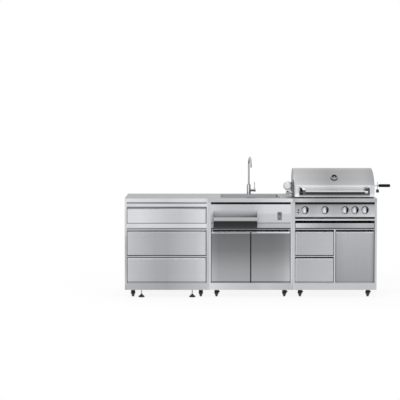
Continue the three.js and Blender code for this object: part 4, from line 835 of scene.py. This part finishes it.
# The holes are not cut: black discs stand in for them as painted shade.
bm = bmesh.new()
for ring, count in ((12, 8), (20, 14)):
    for hole in range(count):
        turn = 2 * math.pi * hole / count
        x = bowl_middle[0] + ring * math.cos(turn)
        y = bowl_middle[1] + ring * math.sin(turn)
        rod(bm, (x, y, 736.8), (x, y, 737.3), 2, 10)
settle("strainer_hole_shades", bm, "sink", [hood_plastic])
bm = bmesh.new()
pipe = [(18, 626.5), (20, 626.5), (20, 716.5), (18, 716.5), (18, 626.5)]
nut = [(20, 690), (26, 690), (27, 692), (27, 708), (26, 710), (20, 710)]
lathe(bm, pipe, drain_foot, upward)
lathe(bm, nut, drain_foot, upward, 12)
settle("waste_pipe", bm, "sink", [waste_plastic], crisp=25)


# Faucet: a turned post with a side valve. A single bent tube swivels in its top as the spout, and a
# thin lever on a cap turns the valve. All of it is chromed brass.
# The chrome's reflections are painted into its colour: bands across the tube and the post, and up the valve.
faucet_x, faucet_y = 400, 530
faucet_foot = (faucet_x, faucet_y, 0)
deck = 950.3
shank_foot, shank_radius = 916, 9.4
locknut_foot, locknut_top, locknut_radius = 930, 940, 17
valve_height, valve_end = 990, 446
tube_reflections = [(389, 210), (393, 190), (400, 182), (411, 196)]
post_reflections = [(379, 205), (383, 160), (389, 148), (393, 225), (401, 240), (404, 150), (414, 70), (421, 50)]
valve_reflections = [(975, 165), (979.5, 150), (981, 50), (989.5, 42), (991.5, 190), (998, 205), (1001, 180)]
valve_reflections += [(1005, 200)]


def painted_reflection_chrome(name, cabinet, axis, tones, roughness=0.2):
    """Polished metal with painted reflections: its tone is given along one axis."""
    level, shade = sheen(cabinet, axis, tones)
    return polished(name, level, roughness, [shade])


faucet_chrome = painted_reflection_chrome("faucet_chrome", "sink", "x", tube_reflections)
post_chrome = painted_reflection_chrome("post_chrome", "sink", "x", post_reflections)
valve_chrome = painted_reflection_chrome("valve_chrome", "sink", "z", valve_reflections)
post = [(0, 0), (26, 0), (27, 1), (27, 4), (25.5, 6), (20.5, 6.6), (20.5, 93), (19, 95), (0, 95)]
valve = [(0, 15), (13, 15), (13, 44), (14, 44.6), (14, 46), (0, 46)]
bm = bmesh.new()
lathe(bm, post, (faucet_x, faucet_y, deck), upward, 48)
lathe(bm, valve, (faucet_x, faucet_y, valve_height), rightward)
rod(bm, (faucet_x, faucet_y, shank_foot), (faucet_x, faucet_y, deck + 0.7), shank_radius)
rod(bm, (faucet_x, faucet_y, locknut_foot), (faucet_x, faucet_y, locknut_top), locknut_radius, 6)
for face in bm.faces:
    face.material_index = int(min(vert.co.x for vert in face.verts) > faucet_x + 14)
finishes = [post_chrome, valve_chrome]
settle("faucet_post", bm, "sink", finishes, node="faucet_body", crisp=40)

spout_radius, arch_radius = 9.35, 78
spout_foot, arch_centre, outlet_height = 1023.6, 1239.65, 1222
nozzle_share, nozzle_depth = 0.78, 24
spout_turn = 6
bm = bmesh.new()
at_foot = Matrix.Translation((faucet_x, faucet_y, spout_foot))
ring = bmesh.ops.create_circle(bm, segments=28, radius=spout_radius, matrix=at_foot)["verts"]
rim = list({edge for vert in ring for edge in vert.link_edges})
rim = pulled(bm, rim, lambda place: place + Vector((0, 0, arch_centre - spout_foot)))
bent = bmesh.ops.spin(
    bm,
    geom=rim + list({vert for edge in rim for vert in edge.verts}),
    cent=(faucet_x, faucet_y - arch_radius, arch_centre),
    axis=rightward,
    angle=math.pi,
    steps=28,
)["geom_last"]
rim = pulled(bm, edges_of(bent), lambda place: place + Vector((0, 0, outlet_height - arch_centre)))
outlet = Vector((faucet_x, faucet_y - 2 * arch_radius, outlet_height))
inlet = pulled(bm, rim, lambda place: outlet + (place - outlet) * nozzle_share)
pulled(bm, inlet, lambda place: place + Vector((0, 0, nozzle_depth)))
close_holes(bm)
bmesh.ops.recalc_face_normals(bm, faces=bm.faces)
collar = [(9, 1045.6), (13, 1045.6), (14, 1046.6), (14, 1053), (12.6, 1054.6), (9, 1055)]
lathe(bm, collar, faucet_foot, upward)
turn = Matrix.Rotation(math.radians(spout_turn), 4, "Z")
bmesh.ops.rotate(bm, verts=bm.verts, cent=faucet_foot, matrix=turn)
finishes = [faucet_chrome]
settle("faucet_tube", bm, "sink", finishes, "faucet_spout", "faucet_spout", crisp=40)

bm = bmesh.new()
cap = [(0, 0), (14, 0), (15, 1), (15, 19), (13, 22), (0, 22)]
stem = [(0, 10), (5, 10), (3.6, 40), (3.4, 74), (4.6, 79), (3.6, 81.6), (0, 82)]
lathe(bm, cap, (valve_end + 0.3, faucet_y, valve_height), rightward)
lathe(bm, stem, (valve_end + 11.3, faucet_y, valve_height), upward, 20)
for face in bm.faces:
    face.material_index = int(max(vert.co.z for vert in face.verts) < valve_height + 16)
finishes = [faucet_chrome, valve_chrome]
settle(
    "faucet_lever_stem", bm, "sink", finishes, "faucet_lever", "faucet_lever", crisp=40
)


# Drip tray: a shallow pan folded of galvanised sheet behind a brushed stainless front with painted
# sheen. The pan is coloured nearly black, painted shade where it shows through the gap over the front.
# It slides out under the burners and catches what drips from the grate.
tray_sheen_across = [(26, 209), (260, 172), (393, 160), (641, 182), (774, 176)]
tray_sheen_fall = [(668, 200), (700, 202), (713, 208)]
tray_steel = painted_sheen_steel("tray_steel", "grill", "x", 0.34, ("x", tray_sheen_across), ("z", tray_sheen_fall), 201)
tray_shade_sheet = brushed("tray_shade_sheet", 0.04, "x", 0.5)
bm = merged_copy("drip_tray", "grill")
for face in bm.faces:
    face.material_index = int(face.calc_center_median().y > front_thickness + 0.5)
finishes = [tray_steel, tray_shade_sheet]
settle("drip_tray_pan", bm, "grill", finishes, "drip_tray", "drip_tray", fold=0.8)


# Control panel: a folded front over the valves. Each spindle has a chromed bezel round it and three
# printed marks, for off, high and low.
panel_front = -3
knob_height = 838
knob_places = {"knob_1": 117, "knob_2": 307, "knob_3": 497, "knob_4": 592, "knob_5": 687}
mark_radius = 43
# Painted light on the panel: shade under the worktop's edge that lightens downwards, and sheen across it.
# The bezels carry painted reflections, dark at their foot and darkest at their tops.
panel_shade_fall = [(774, 214), (783, 203), (811, 188), (860, 178), (882, 164), (893, 150)]
panel_sheen_across = [(22, 168), (120, 180), (184, 172), (260, 180), (400, 170), (778, 190)]
panel_steel = painted_sheen_steel("panel_steel", "grill", "x", 0.32, ("z", panel_shade_fall), ("x", panel_sheen_across), 182)
bezel_reflections = [(800, 130), (806, 110), (820, 170), (850, 160), (862, 90), (876, 70)]
bezel_chrome = painted_sheen_steel("bezel_chrome", "grill", "x", 0.2, ("z", bezel_reflections))
print_ink = moulded("print_ink", 0.02, 0.6)
bm = merged_copy("control_panel", "grill")
bezels = [face for face in bm.faces if min(vert.co.y for vert in face.verts) < panel_front - 0.5]
bmesh.ops.delete(bm, geom=bezels, context="FACES")
close_holes(bm)
settle("control_panel_fold", bm, "grill", [panel_steel], node="control_panel", fold=0.8)
bezel_ring = [(31, -0.4), (38, -0.4), (38, 1.2), (35.6, 3.4), (32.6, 4), (31, 3), (31, -0.4)]
for knob, x in knob_places.items():
    bm = bmesh.new()
    lathe(bm, bezel_ring, (x, panel_front, knob_height), forward, 56)
    settle(f"{knob}_bezel", bm, "grill", [bezel_chrome], crisp=40)
bm = bmesh.new()
for x in knob_places.values():
    for degrees in (90, 160, 165, 215):
        turn = math.radians(degrees)
        centre = (x + mark_radius * math.cos(turn), panel_front, knob_height + mark_radius * math.sin(turn))
        verts = bar(bm, -0.6, 0.6, -0.15, 0.15, -2.6, 2.6)
        bmesh.ops.rotate(bm, verts=verts, matrix=Matrix.Rotation(math.pi / 2 - turn, 4, "Y"))
        bmesh.ops.translate(bm, verts=verts, vec=centre)
settle("control_panel_marks", bm, "grill", [print_ink])


# Knobs: turned steel with a flared skirt, a domed grip and a raised pointer that shows the setting.
# They are polished, with a painted reflection in their colour, bright on the left half and black on
# the right, and turn with the valve's spindle.
knob_back = -4.5
pointer_back, pointer_face = knob_back - 24, knob_back - 34
pointer_plastic = moulded("pointer_plastic", 0.03, 0.4)
turned = [(0, 0), (29, 0), (29, 3.2), (28.2, 4.4), (24.5, 4.8), (23.4, 6.5), (22.8, 15), (22.2, 27)]
turned += [(21, 28.6), (18, 29.3), (10, 29.8), (0, 30)]
cap_reflections = [(-29, 190), (-25, 220), (-14, 232), (4, 222), (9, 60), (12, 16), (29, 20)]
for knob, x in knob_places.items():
    knob_reflections = [(x + place, tone) for place, tone in cap_reflections]
    knob_chrome = painted_reflection_chrome(f"{knob}_chrome", "grill", "x", knob_reflections, 0.14)
    bm = bmesh.new()
    lathe(bm, turned, (x, knob_back, knob_height), forward, 64)
    rod(bm, (x, knob_back + 0.5, knob_height), (x, 25, knob_height), 4, 16)
    settle(f"{knob}_cap", bm, "grill", [knob_chrome], knob, knob)
    bm = bmesh.new()
    bar(bm, x - 3, x + 3, pointer_face, pointer_back, knob_height - 19, knob_height + 19)
    tips = [edge for edge in bm.edges if max(vert.co.y for vert in edge.verts) < knob_back - 30]
    rounded(bm, tips, 2.2, 4)
    bar(bm, x - 0.8, x + 0.8, pointer_face - 0.2, pointer_face + 1, knob_height + 6, knob_height + 17, 1)
    finishes = [knob_chrome, pointer_plastic]
    settle(f"{knob}_pointer", bm, "grill", finishes, knob, crisp=30)


# Push buttons of the igniter and the light: caps moulded in black plastic. A thin flange behind the
# panel's sheet keeps each cap in its hole.
button_x = 53
button_cap = [(0, 6), (6.2, 6), (7.2, 5.2), (7.5, 4), (7.5, -3), (9.5, -3.2), (9.5, -5), (0, -5)]
for button, z in (("igniter_button", 839), ("light_button", 815)):
    bm = bmesh.new()
    lathe(bm, button_cap, (button_x, panel_front, z), forward)
    settle(f"{button}_cap", bm, "grill", [hood_plastic], button, button, crisp=40)


# Firebox: a deep stainless frame hung in the grill's worktop by its flange. Its sides rise inside the
# Its sides rise inside the lid as hinge ears and spit cradles, and its walls are darker towards the
# bottom.
darker_below = [("z", 0.77, 0.953, [(0, 0.5), (0.6, 0.8), (1, 1)])]
firebox_steel = brushed("firebox_steel", 0.3, "x", 0.42, darker_below)
bm = merged_copy("firebox", "grill")
settle("firebox_frame", bm, "grill", [firebox_steel], node="firebox", fold=0.8)


# Burners: four stainless tubes with a row of flame ports down each flank, fed through cast valves
# from a gas manifold that runs behind the control panel.
burner_places = (117, 307, 497, 687)
burner_radius = 15
port_lean = 0.9
# The tubes are darker in a band a third of the way back.
burner_band = [("y", -0.22, 0.23, [(0, 1), (0.3, 0.75), (1, 0.9)])]
burner_steel = brushed("burner_steel", 0.36, "y", 0.4, burner_band)
bm = merged_copy("burner_set", "grill")
settle("burner_tubes", bm, "grill", [burner_steel], node="burner_set", fold=0.6)
# The ports are not cut: short black plugs stand in for them as painted shade.
bm = bmesh.new()
for x in burner_places:
    for y in range(96, 470, 14):
        for flank in (-1, 1):
            lean = Vector((flank * math.sin(port_lean), 0, math.cos(port_lean)))
            root = Vector((x, y, knob_height)) + lean * (burner_radius - 0.7)
            rod(bm, root, root + lean * 0.9, 1.3, 8)
settle("burner_port_shades", bm, "grill", [hood_plastic])


# Cooking grate: a heavy casting with twenty-five bars from front to back, its edges rounded by the
# mould and darkened by oil.
def cast_iron(name, level, roughness):
    """Cast iron: a dark sand-cast skin, mottled and slightly rough."""
    iron, place = new_finish(name)
    grains = noise(iron, place, 420, 4.0)
    mottle = noise(iron, place, 45, 3.0)
    colour = blend(iron, mottle * 0.6 + grains * 0.4, level, 0.55, 1.5)
    return surface(iron, colour, roughness + mottle * 0.15, (0.5, 0.0008, grains), {"Metallic": 0.4})


grate_iron = cast_iron("grate_iron", 0.045, 0.42)
bm = merged_copy("cooking_grate", "grill")
settle("grate_casting", bm, "grill", [grate_iron], node="cooking_grate", fold=2.4)


# Warming rack: steel rods welded across two end frames and then chromed. It stands on the rear bars
# of the cooking grate.
rack_chrome = polished("rack_chrome", 0.55, 0.16)
bm = merged_copy("warming_rack", "grill")
settle("warming_rack_rods", bm, "grill", [rack_chrome], node="warming_rack", fold=1.0)


# Lid: a double-curved hood of one folded sheet between two end cheeks, creased where the upright
# front meets the curve. It turns on pins in the firebox's ears.
lid_front = 25
lid_inside = Vector((0, 315, 1000))
handle_field = (62, 735)
# Painted light on the lid: sheen across and up the curve, with a painted highlight along the crease. Between
# the brackets the front has painted shade at its lower edge and a dark painted reflection of the handle bar;
# at the ends, painted shade at the lower edge and a painted highlight over it. The cheeks carry painted
# shade, darker towards the back and the bottom.
curve_sheen_across = [(20, 206), (337, 172), (642, 188), (700, 186), (780, 172)]
curve_sheen_fall = [(1066, 220), (1071, 222), (1075, 205), (1082, 196), (1222, 163)]
front_sheen_across = [(62, 214), (184, 211), (365, 191), (735, 214)]
front_reflection_fall = [(956, 44), (961, 66), (963, 182), (966, 188), (974, 160), (982, 92), (990, 72), (1000, 80)]
front_reflection_fall += [(1022, 186), (1056, 196), (1062, 214), (1067, 218)]
end_sheen_across = [(20, 205), (34, 230), (780, 216)]
end_sheen_fall = [(956, 44), (961, 66), (963, 236), (980, 236), (1000, 214), (1067, 214)]
cheek_shade_fall = [(958, 130), (1000, 160), (1080, 170), (1120, 196), (1222, 200)]
cheek_shade_depth = [(25, 212), (120, 208), (150, 142), (240, 140), (270, 100), (600, 90)]
finishes = [
    painted_sheen_steel("lid_curve_steel", "grill", "x", 0.3, ("z", curve_sheen_fall), ("x", curve_sheen_across), 181),
    painted_sheen_steel("cheek_steel", "grill", "y", 0.36, ("z", cheek_shade_fall), ("y", cheek_shade_depth), 140),
    brushed("lid_lining", 0.34, "x", 0.42),
    painted_sheen_steel("lid_front_steel", "grill", "x", 0.3, ("x", front_sheen_across), ("z", front_reflection_fall), 191),
    painted_sheen_steel("lid_end_steel", "grill", "x", 0.3, ("x", end_sheen_across), ("z", end_sheen_fall), 214),
]
bm = merged_copy("lid", "grill")
bm.normal_update()
cut_front(bm, [("x", place) for place in handle_field], lid_front + 1)
for face in bm.faces:
    centre = face.calc_center_median()
    inwards = lid_inside - Vector((0, centre.y, centre.z))
    if abs(face.normal.x) > 0.9:
        face.material_index = 1
    elif face.normal.dot(inwards) > 0:
        face.material_index = 2
    elif centre.y < lid_front + 1 and face.normal.y < -0.9:
        face.material_index = 3 if handle_field[0] < centre.x < handle_field[1] else 4
settle("lid_hood", bm, "grill", finishes, "lid", "lid", fold=1.0)


# Lid handle: a thick tube of polished steel between two angular cast brackets. Each bracket is bolted
# through the front of the lid.
handle_start, handle_y, handle_z = 76, -21, 1010
# The bar carries a painted highlight along its top and painted shade under it. The brackets' columns are
# painted dark, and their arms and ferrules carry painted highlights and shade.
bar_highlight = [(994, 76), (997, 62), (1005, 56), (1014, 110), (1017, 205), (1020, 246), (1026, 246)]
handle_steel = painted_reflection_chrome("handle_steel", "grill", "z", bar_highlight, 0.16)
tube = [(0, 0), (13, 0), (16, 2), (16, 646), (13, 648), (0, 648)]
bm = bmesh.new()
lathe(bm, tube, (handle_start, handle_y, handle_z), rightward, 48)
settle("lid_handle_bar", bm, "grill", [handle_steel], "lid", "lid_handle", crisp=40)
left_ferrule_reflections = [(990, 112), (1004, 104), (1014, 74), (1030, 135)]
right_ferrule_reflections = [(990, 70), (995, 150), (1008, 166), (1012, 250), (1020, 240), (1024, 156), (1030, 150)]
left_arm_reflections = [(1028, 150), (1036, 255), (1052, 255)]
right_arm_reflections = [(1028, 72), (1036, 74), (1042, 108), (1052, 96)]
ferrule = [(0, 0), (17.4, 0), (18.4, 1), (18.4, 27), (17, 29), (0, 29)]
arm = [(78, 1051), (108, 1051), (116, 1044), (118, 1029), (90, 1029)]
for side, edge_x, column_shade, arm_reflections, ferrule_reflections in (
    ("left", 66, 26, left_arm_reflections, left_ferrule_reflections),
    ("right", 73, 76, right_arm_reflections, right_ferrule_reflections),
):
    finishes = [
        polished(f"bracket_{side}_column", linear(column_shade), 0.3),
        painted_sheen_steel(f"bracket_{side}_arm", "grill", "x", 0.26, ("z", arm_reflections)),
        painted_sheen_steel(f"bracket_{side}_ferrule", "grill", "x", 0.26, ("z", ferrule_reflections)),
    ]
    start, way = {"left": (0, 1), "right": (cabinet_width, -1)}[side]
    column = [(edge_x, 992), (edge_x, 1046), (edge_x + 3, 1052), (80, 1052), (91, 1034), (91, 990)]
    column += [(edge_x + 4, 988)]
    bm = bmesh.new()
    extruded(bm, [(start + way * x, z) for x, z in column], -36, 24.4)
    extruded(bm, [(start + way * x, z) for x, z in arm], -26, 24.4, 1)
    for face in lathe(bm, ferrule, (start + way * 90.5, handle_y, handle_z), (way, 0, 0)):
        face.material_index = 2
    settle(f"lid_handle_bracket_{side}", bm, "grill", finishes, "lid", fold=1.6)


# Lid thermometer: a dial under a chromed bezel on the curve of the lid, its probe through the sheet.
# Printed ticks run round a dark face, with a zone band and a needle.
gauge_centre = Vector((400, 86.5, 1143))
gauge_axis = Vector((0, -0.643, 0.766))
gauge_up = gauge_axis.cross(Vector(rightward))
dial_radius, dial_height = 23.9, 13
gauge_chrome = polished("gauge_chrome", 0.34, 0.2)
dial_black = moulded("dial_black", 0.008, 0.5, 0.2, 0.08)
dial_white = moulded("dial_white", 0.75, 0.5)
case = [(0, -40), (5, -40), (5, 3.2), (33, 3.2), (36.5, 4), (36.5, 8), (35, 12), (29, 16), (26.4, 17)]
case += [(24.6, 16), (24, dial_height), (0, dial_height)]
bm = bmesh.new()
lathe(bm, case, gauge_centre, gauge_axis, 64)
for face in bm.faces:
    place = face.calc_center_median() - gauge_centre
    height = place.dot(gauge_axis)
    spread = (place - gauge_axis * height).length
    face.material_index = int(spread < dial_radius and height > dial_height - 1)
finishes = [gauge_chrome, dial_black]
settle("gauge_case", bm, "grill", finishes, "lid", "lid_thermometer")


def on_dial(radius, degrees, height=13.1):
    """A point of the dial, by its distance from the middle and its turn from the right."""
    turn = math.radians(degrees)
    across = Vector(rightward) * math.cos(turn) + gauge_up * math.sin(turn)
    return gauge_centre + across * radius + gauge_axis * height


bm = bmesh.new()
for mark in range(31):
    degrees = 225 - 9 * mark
    inner, thickness = (21, 0.2) if mark % 5 else (19.5, 0.35)
    rod(bm, on_dial(inner, degrees), on_dial(22.4, degrees), thickness, 6)
rod(bm, on_dial(-6, 205, 14.4), on_dial(18, 205, 14.4), 0.8, 8, 0.3)
lathe(bm, [(0, 13), (3, 13), (3, 15), (0, 15.6)], gauge_centre, gauge_axis, 20)
settle("gauge_marks", bm, "grill", [dial_white], "lid")
bm = bmesh.new()
for step in range(18):
    degrees = -50 - 4.4 * step
    rod(bm, on_dial(18, degrees), on_dial(18, degrees - 4.6), 3, 6)
settle("gauge_band", bm, "grill", [dial_white], "lid")


# Rotisserie motor: a round die-cast head on a neck, its switch at the front, hung on a bent bracket
# that stands on the worktop beside the lid. A nut clamps the neck to the bracket.
motor_x, motor_z = -34, 1054
motor_front, motor_back = 219, 281
bracket_front, bracket_back = 205, 295
motor_face = (motor_x, motor_front, motor_z)
# The head carries painted sheen across it, darker at its edges.
motor_sheen = [(-76, 180), (-72, 206), (-60, 224), (-34, 236), (-10, 230), (8, 180)]
motor_silver = painted_sheen_steel("motor_silver", "grill", "z", 0.34, ("x", motor_sheen))
bracket_steel = brushed("bracket_steel", 0.1, "z", 0.36)
head = [(0, 0), (36, 0), (40, 1.2), (42, 4), (42, 58), (40, 61), (36, 62), (0, 62)]
bm = bmesh.new()
lathe(bm, head, motor_face, rearward, 64)
lathe(bm, [(0, -0.9), (24, -0.9), (25.5, 0.4), (0, 0.4)], motor_face, rearward, 48)
neck = bar(bm, motor_x - 18, motor_x + 40, motor_front + 2, motor_back - 2, 978, motor_z - 18)
rounded(bm, list({edge for vert in neck for edge in vert.link_edges}), 4, 4)
settle("motor_casing", bm, "grill", [motor_silver], node="rotisserie_motor", crisp=40)
bm = bmesh.new()
for block in (
    (9, 11, bracket_front, bracket_back, deck, 1110),
    (9, 19.8, bracket_front, bracket_back, deck, deck + 2),
    (-10, 9.5, 221, 279, 1040, 1086),
    (4, 9.5, 223, 277, 984, 1041),
):
    bar(bm, *block)
settle("motor_bracket", bm, "grill", [bracket_steel], fold=0.6)
bm = bmesh.new()
bar(bm, motor_x - 7, motor_x + 7, motor_front - 0.4, motor_front + 4, 992, 1006)
key = bar(bm, motor_x - 5, motor_x + 5, motor_front - 3, motor_front + 1, 994, 1004)
tilt = Matrix.Rotation(math.radians(-10), 3, "X")
bmesh.ops.rotate(bm, verts=key, cent=(motor_x, motor_front, 999), matrix=tilt)
for z in (1078, 1030):
    for x in (motor_x - 28, motor_x + 28):
        screw(bm, (x, motor_front + 0.6, z), forward, 3)
settle("motor_switch", bm, "grill", [hood_plastic], fold=0.4)
# The nut is coloured near white, a painted highlight.
clamp_nut_highlight = polished("clamp_nut_highlight", 0.95, 0.3)
nut = [(0, -1), (9, -1), (9.6, 0), (9.6, 9), (8.6, 10), (3, 10), (3, 12), (0, 12)]
bm = bmesh.new()
lathe(bm, nut, (-1, motor_front + 2, 993), forward, 12)
settle("motor_clamp_nut", bm, "grill", [clamp_nut_highlight], fold=0.4)


# Spit: a steel rod from the motor to a ribbed black grip. Two forks with pointed tines are clamped on
# it by thumbscrews, and a collar keeps it in its cradle.
spit_y, spit_z = 250, motor_z
rod_start, rod_end, rod_radius = -33.7, 856, 5
collar_x, fork_places = 790, ((250, 1), (550, -1))
tine_reach, tine_offset, tine_point = 90, 23, 14
spit_steel = polished("spit_steel", 0.6, 0.16)
collar = [(4, 0), (11, 0), (12, 1), (12, 9), (11, 10), (4, 10)]
hub = [(4, -12), (10, -12), (11, -11), (11, 11), (10, 12), (4, 12)]
bm = bmesh.new()
rod(bm, (rod_start, spit_y, spit_z), (rod_end, spit_y, spit_z), rod_radius, 24)
lathe(bm, collar, (collar_x, spit_y, spit_z), rightward)
for fork_x, inwards in fork_places:
    lathe(bm, hub, (fork_x, spit_y, spit_z), rightward, 32)
    bar(bm, fork_x - 3, fork_x + 3, spit_y - 3, spit_y + 3, spit_z - 26, spit_z + 26)
    tip = fork_x + inwards * tine_reach
    for z in (spit_z - tine_offset, spit_z + tine_offset):
        shoulder = (tip - inwards * tine_point, spit_y, z)
        rod(bm, (fork_x, spit_y, z), shoulder, 3, 12)
        rod(bm, shoulder, (tip, spit_y, z), 3, 12, 0.4)
    rod(bm, (fork_x, spit_y, spit_z), (fork_x, spit_y - 24, spit_z), 2.4, 12)
    rod(bm, (fork_x, spit_y - 18, spit_z), (fork_x, spit_y - 25, spit_z), 7, 12)
settle("spit_shaft", bm, "grill", [spit_steel], "spit", "spit_rod", fold=0.4, crisp=40)
grip_start = 847
grip_black = moulded("grip_black", 0.005, 0.45, 0.3, 0.12)
handle = [(0, 0), (9, 0), (12.6, 3), (14, 9)]
for rib in range(14, 104, 10):
    handle += [(14.2, rib), (14.9, rib + 2), (14.9, rib + 7), (14.2, rib + 9)]
handle += [(15, 106), (13, 110.5), (9, 113), (0, 113)]
bm = bmesh.new()
lathe(bm, handle, (grip_start, spit_y, spit_z), rightward)
settle("spit_grip", bm, "grill", [grip_black], "spit", crisp=50)


# Counterweight: a cast iron block at the foot of a thin steel rod. The rod passes through a hub that
# is clamped on the spit.
weight_x = 838
weight_half = 12.5
block_foot, block_top = spit_z - 67, spit_z - 37
weight_iron = cast_iron("weight_iron", 0.05, 0.4)
hub = [(5.2, -4.5), (9, -4.5), (10, -3.5), (10, 3.5), (9, 4.5), (5.2, 4.5)]
bm = bmesh.new()
lathe(bm, hub, (weight_x, spit_y, spit_z), rightward, 32)
for foot, top, radius, end_radius in ((5, 34, 3, 3), (33, 35, 2.4, 1.2), (-60, -5, 3, 3)):
    start, end = (weight_x, spit_y, spit_z + foot), (weight_x, spit_y, spit_z + top)
    rod(bm, start, end, radius, 16, end_radius)
settle("counterweight_rod", bm, "grill", [spit_steel], "spit", crisp=40)
bm = bmesh.new()
left, right = weight_x - weight_half, weight_x + weight_half
bar(bm, left, right, spit_y - weight_half, spit_y + weight_half, block_foot, block_top)
middle = (block_foot + block_top) / 2
screw(bm, (weight_x, spit_y - weight_half + 0.1, middle), forward, 3.4)
settle("counterweight_block", bm, "grill", [weight_iron], "spit", "spit_counterweight", 2)


# The studio: a pale floor that keeps the object's shadow and fades to the white background, soft
# lamps above the camera and to the right, and a room that metal reflects.
smooth = {"interpolation_type": "SMOOTHSTEP"}
white = (1, 1, 1, 1)
floor_finish, place = new_finish("studio_floor")
grain = noise(floor_finish, place, 3)
ray = floor_finish.add("ShaderNodeLightPath")
seen = ray + ray.beside("Is Glossy Ray") + ray.beside("Is Transmission Ray")
distance = floor_finish.add("ShaderNodeVectorMath", {"operation": "LENGTH"}, {0: place}, output=1)
fade = floor_finish.add("ShaderNodeMapRange", smooth, {0: distance, 1: 1.4, 2: 3.2, 3: 0.88, 4: 1.0})
pale = {"Base Color": (0.86, 0.86, 0.86, 1), "Roughness": 0.9 + grain * 0.05}
lit = floor_finish.add("ShaderNodeBsdfPrincipled", {}, pale)
glow = floor_finish.add("ShaderNodeEmission", {}, {"Color": white, "Strength": 1.0})
shown = floor_finish.add("ShaderNodeMixShader", {}, {0: seen * fade, 1: lit, 2: glow})
floor_finish.add("ShaderNodeOutputMaterial", {}, {"Surface": shown})
bm = bmesh.new()
bmesh.ops.create_grid(bm, x_segments=8, y_segments=8, size=7)
mesh = bpy.data.meshes.new("studio_floor")
bm.to_mesh(mesh)
bm.free()
mesh.materials.append(floor_finish.material)
stand("studio_floor", mesh)

room = bpy.data.worlds.new("room")
bpy.context.scene.world = room
room.use_nodes = True
walls = Nodes(room.node_tree)
ray = walls.add("ShaderNodeLightPath")
glossy = ray.beside("Is Glossy Ray")
heading = walls.add("ShaderNodeTexCoord", output="Generated")
right = walls.add("ShaderNodeSeparateXYZ", {}, {0: heading})
back, up = right.beside("Y"), right.beside("Z")


def rising(value, low, high):
    """A soft step from nought to one between two values."""
    return walls.add("ShaderNodeMapRange", smooth, {0: value, 1: low, 2: high})


left = -1 * right
behind = rising(back, 0.05, 0.25)
level_band = (1 - rising(up, 0.25, 0.5)) * rising(up, -0.5, -0.3)
dark_flag = rising(right, 0.5, 0.62) * (1 - rising(right, 0.86, 0.96)) * level_band
left_flag = rising(left, 0.62, 0.72) * (1 - rising(left, 0.88, 0.97)) * level_band
ceiling = rising(up, 0.55, 0.85)
front = 1.0 - dark_flag * 0.8 - left_flag * 0.6 - ceiling * 0.12
reflected = behind + (1 - behind) * front
strength = ray + (1 - ray) * (glossy * reflected + (1 - glossy) * 0.55)
sky = walls.add("ShaderNodeBackground", {}, {"Color": white, "Strength": strength})
walls.add("ShaderNodeOutputWorld", {}, {"Surface": sky})
room.cycles.sampling_method = "NONE"

for name, place, aim, size, power in (
    ("key_lamp", (-4.5, -6.5, 6.5), (0, 0, 0.6), 5, 420),
    ("fill_lamp", (5.5, -5.5, 4.0), (0.3, 0, 0.6), 4, 120),
    ("top_lamp", (0, 1.0, 6.5), (0, 0, 0.6), 5, 160),
):
    softbox = bpy.data.lights.new(name, "AREA")
    softbox.shape = "SQUARE"
    softbox.size = size
    softbox.energy = power
    lamp = stand(name, softbox)
    lamp.visible_glossy = False
    lamp.location = place
    lamp.rotation_euler = (Vector(aim) - Vector(place)).to_track_quat("-Z", "Y").to_euler()

camera = bpy.data.cameras.new("photo_camera")
camera.sensor_width = 36
camera.lens = 116.97
camera.shift_y = -0.133
tripod = stand("photo_camera", camera)
tripod.location = (-0.5633, -12.5825, 1.945)
tripod.rotation_euler = (math.radians(90 - 2.34), 0, 0)
bpy.context.scene.camera = tripod
bpy.context.scene.view_settings.view_transform = "Standard"
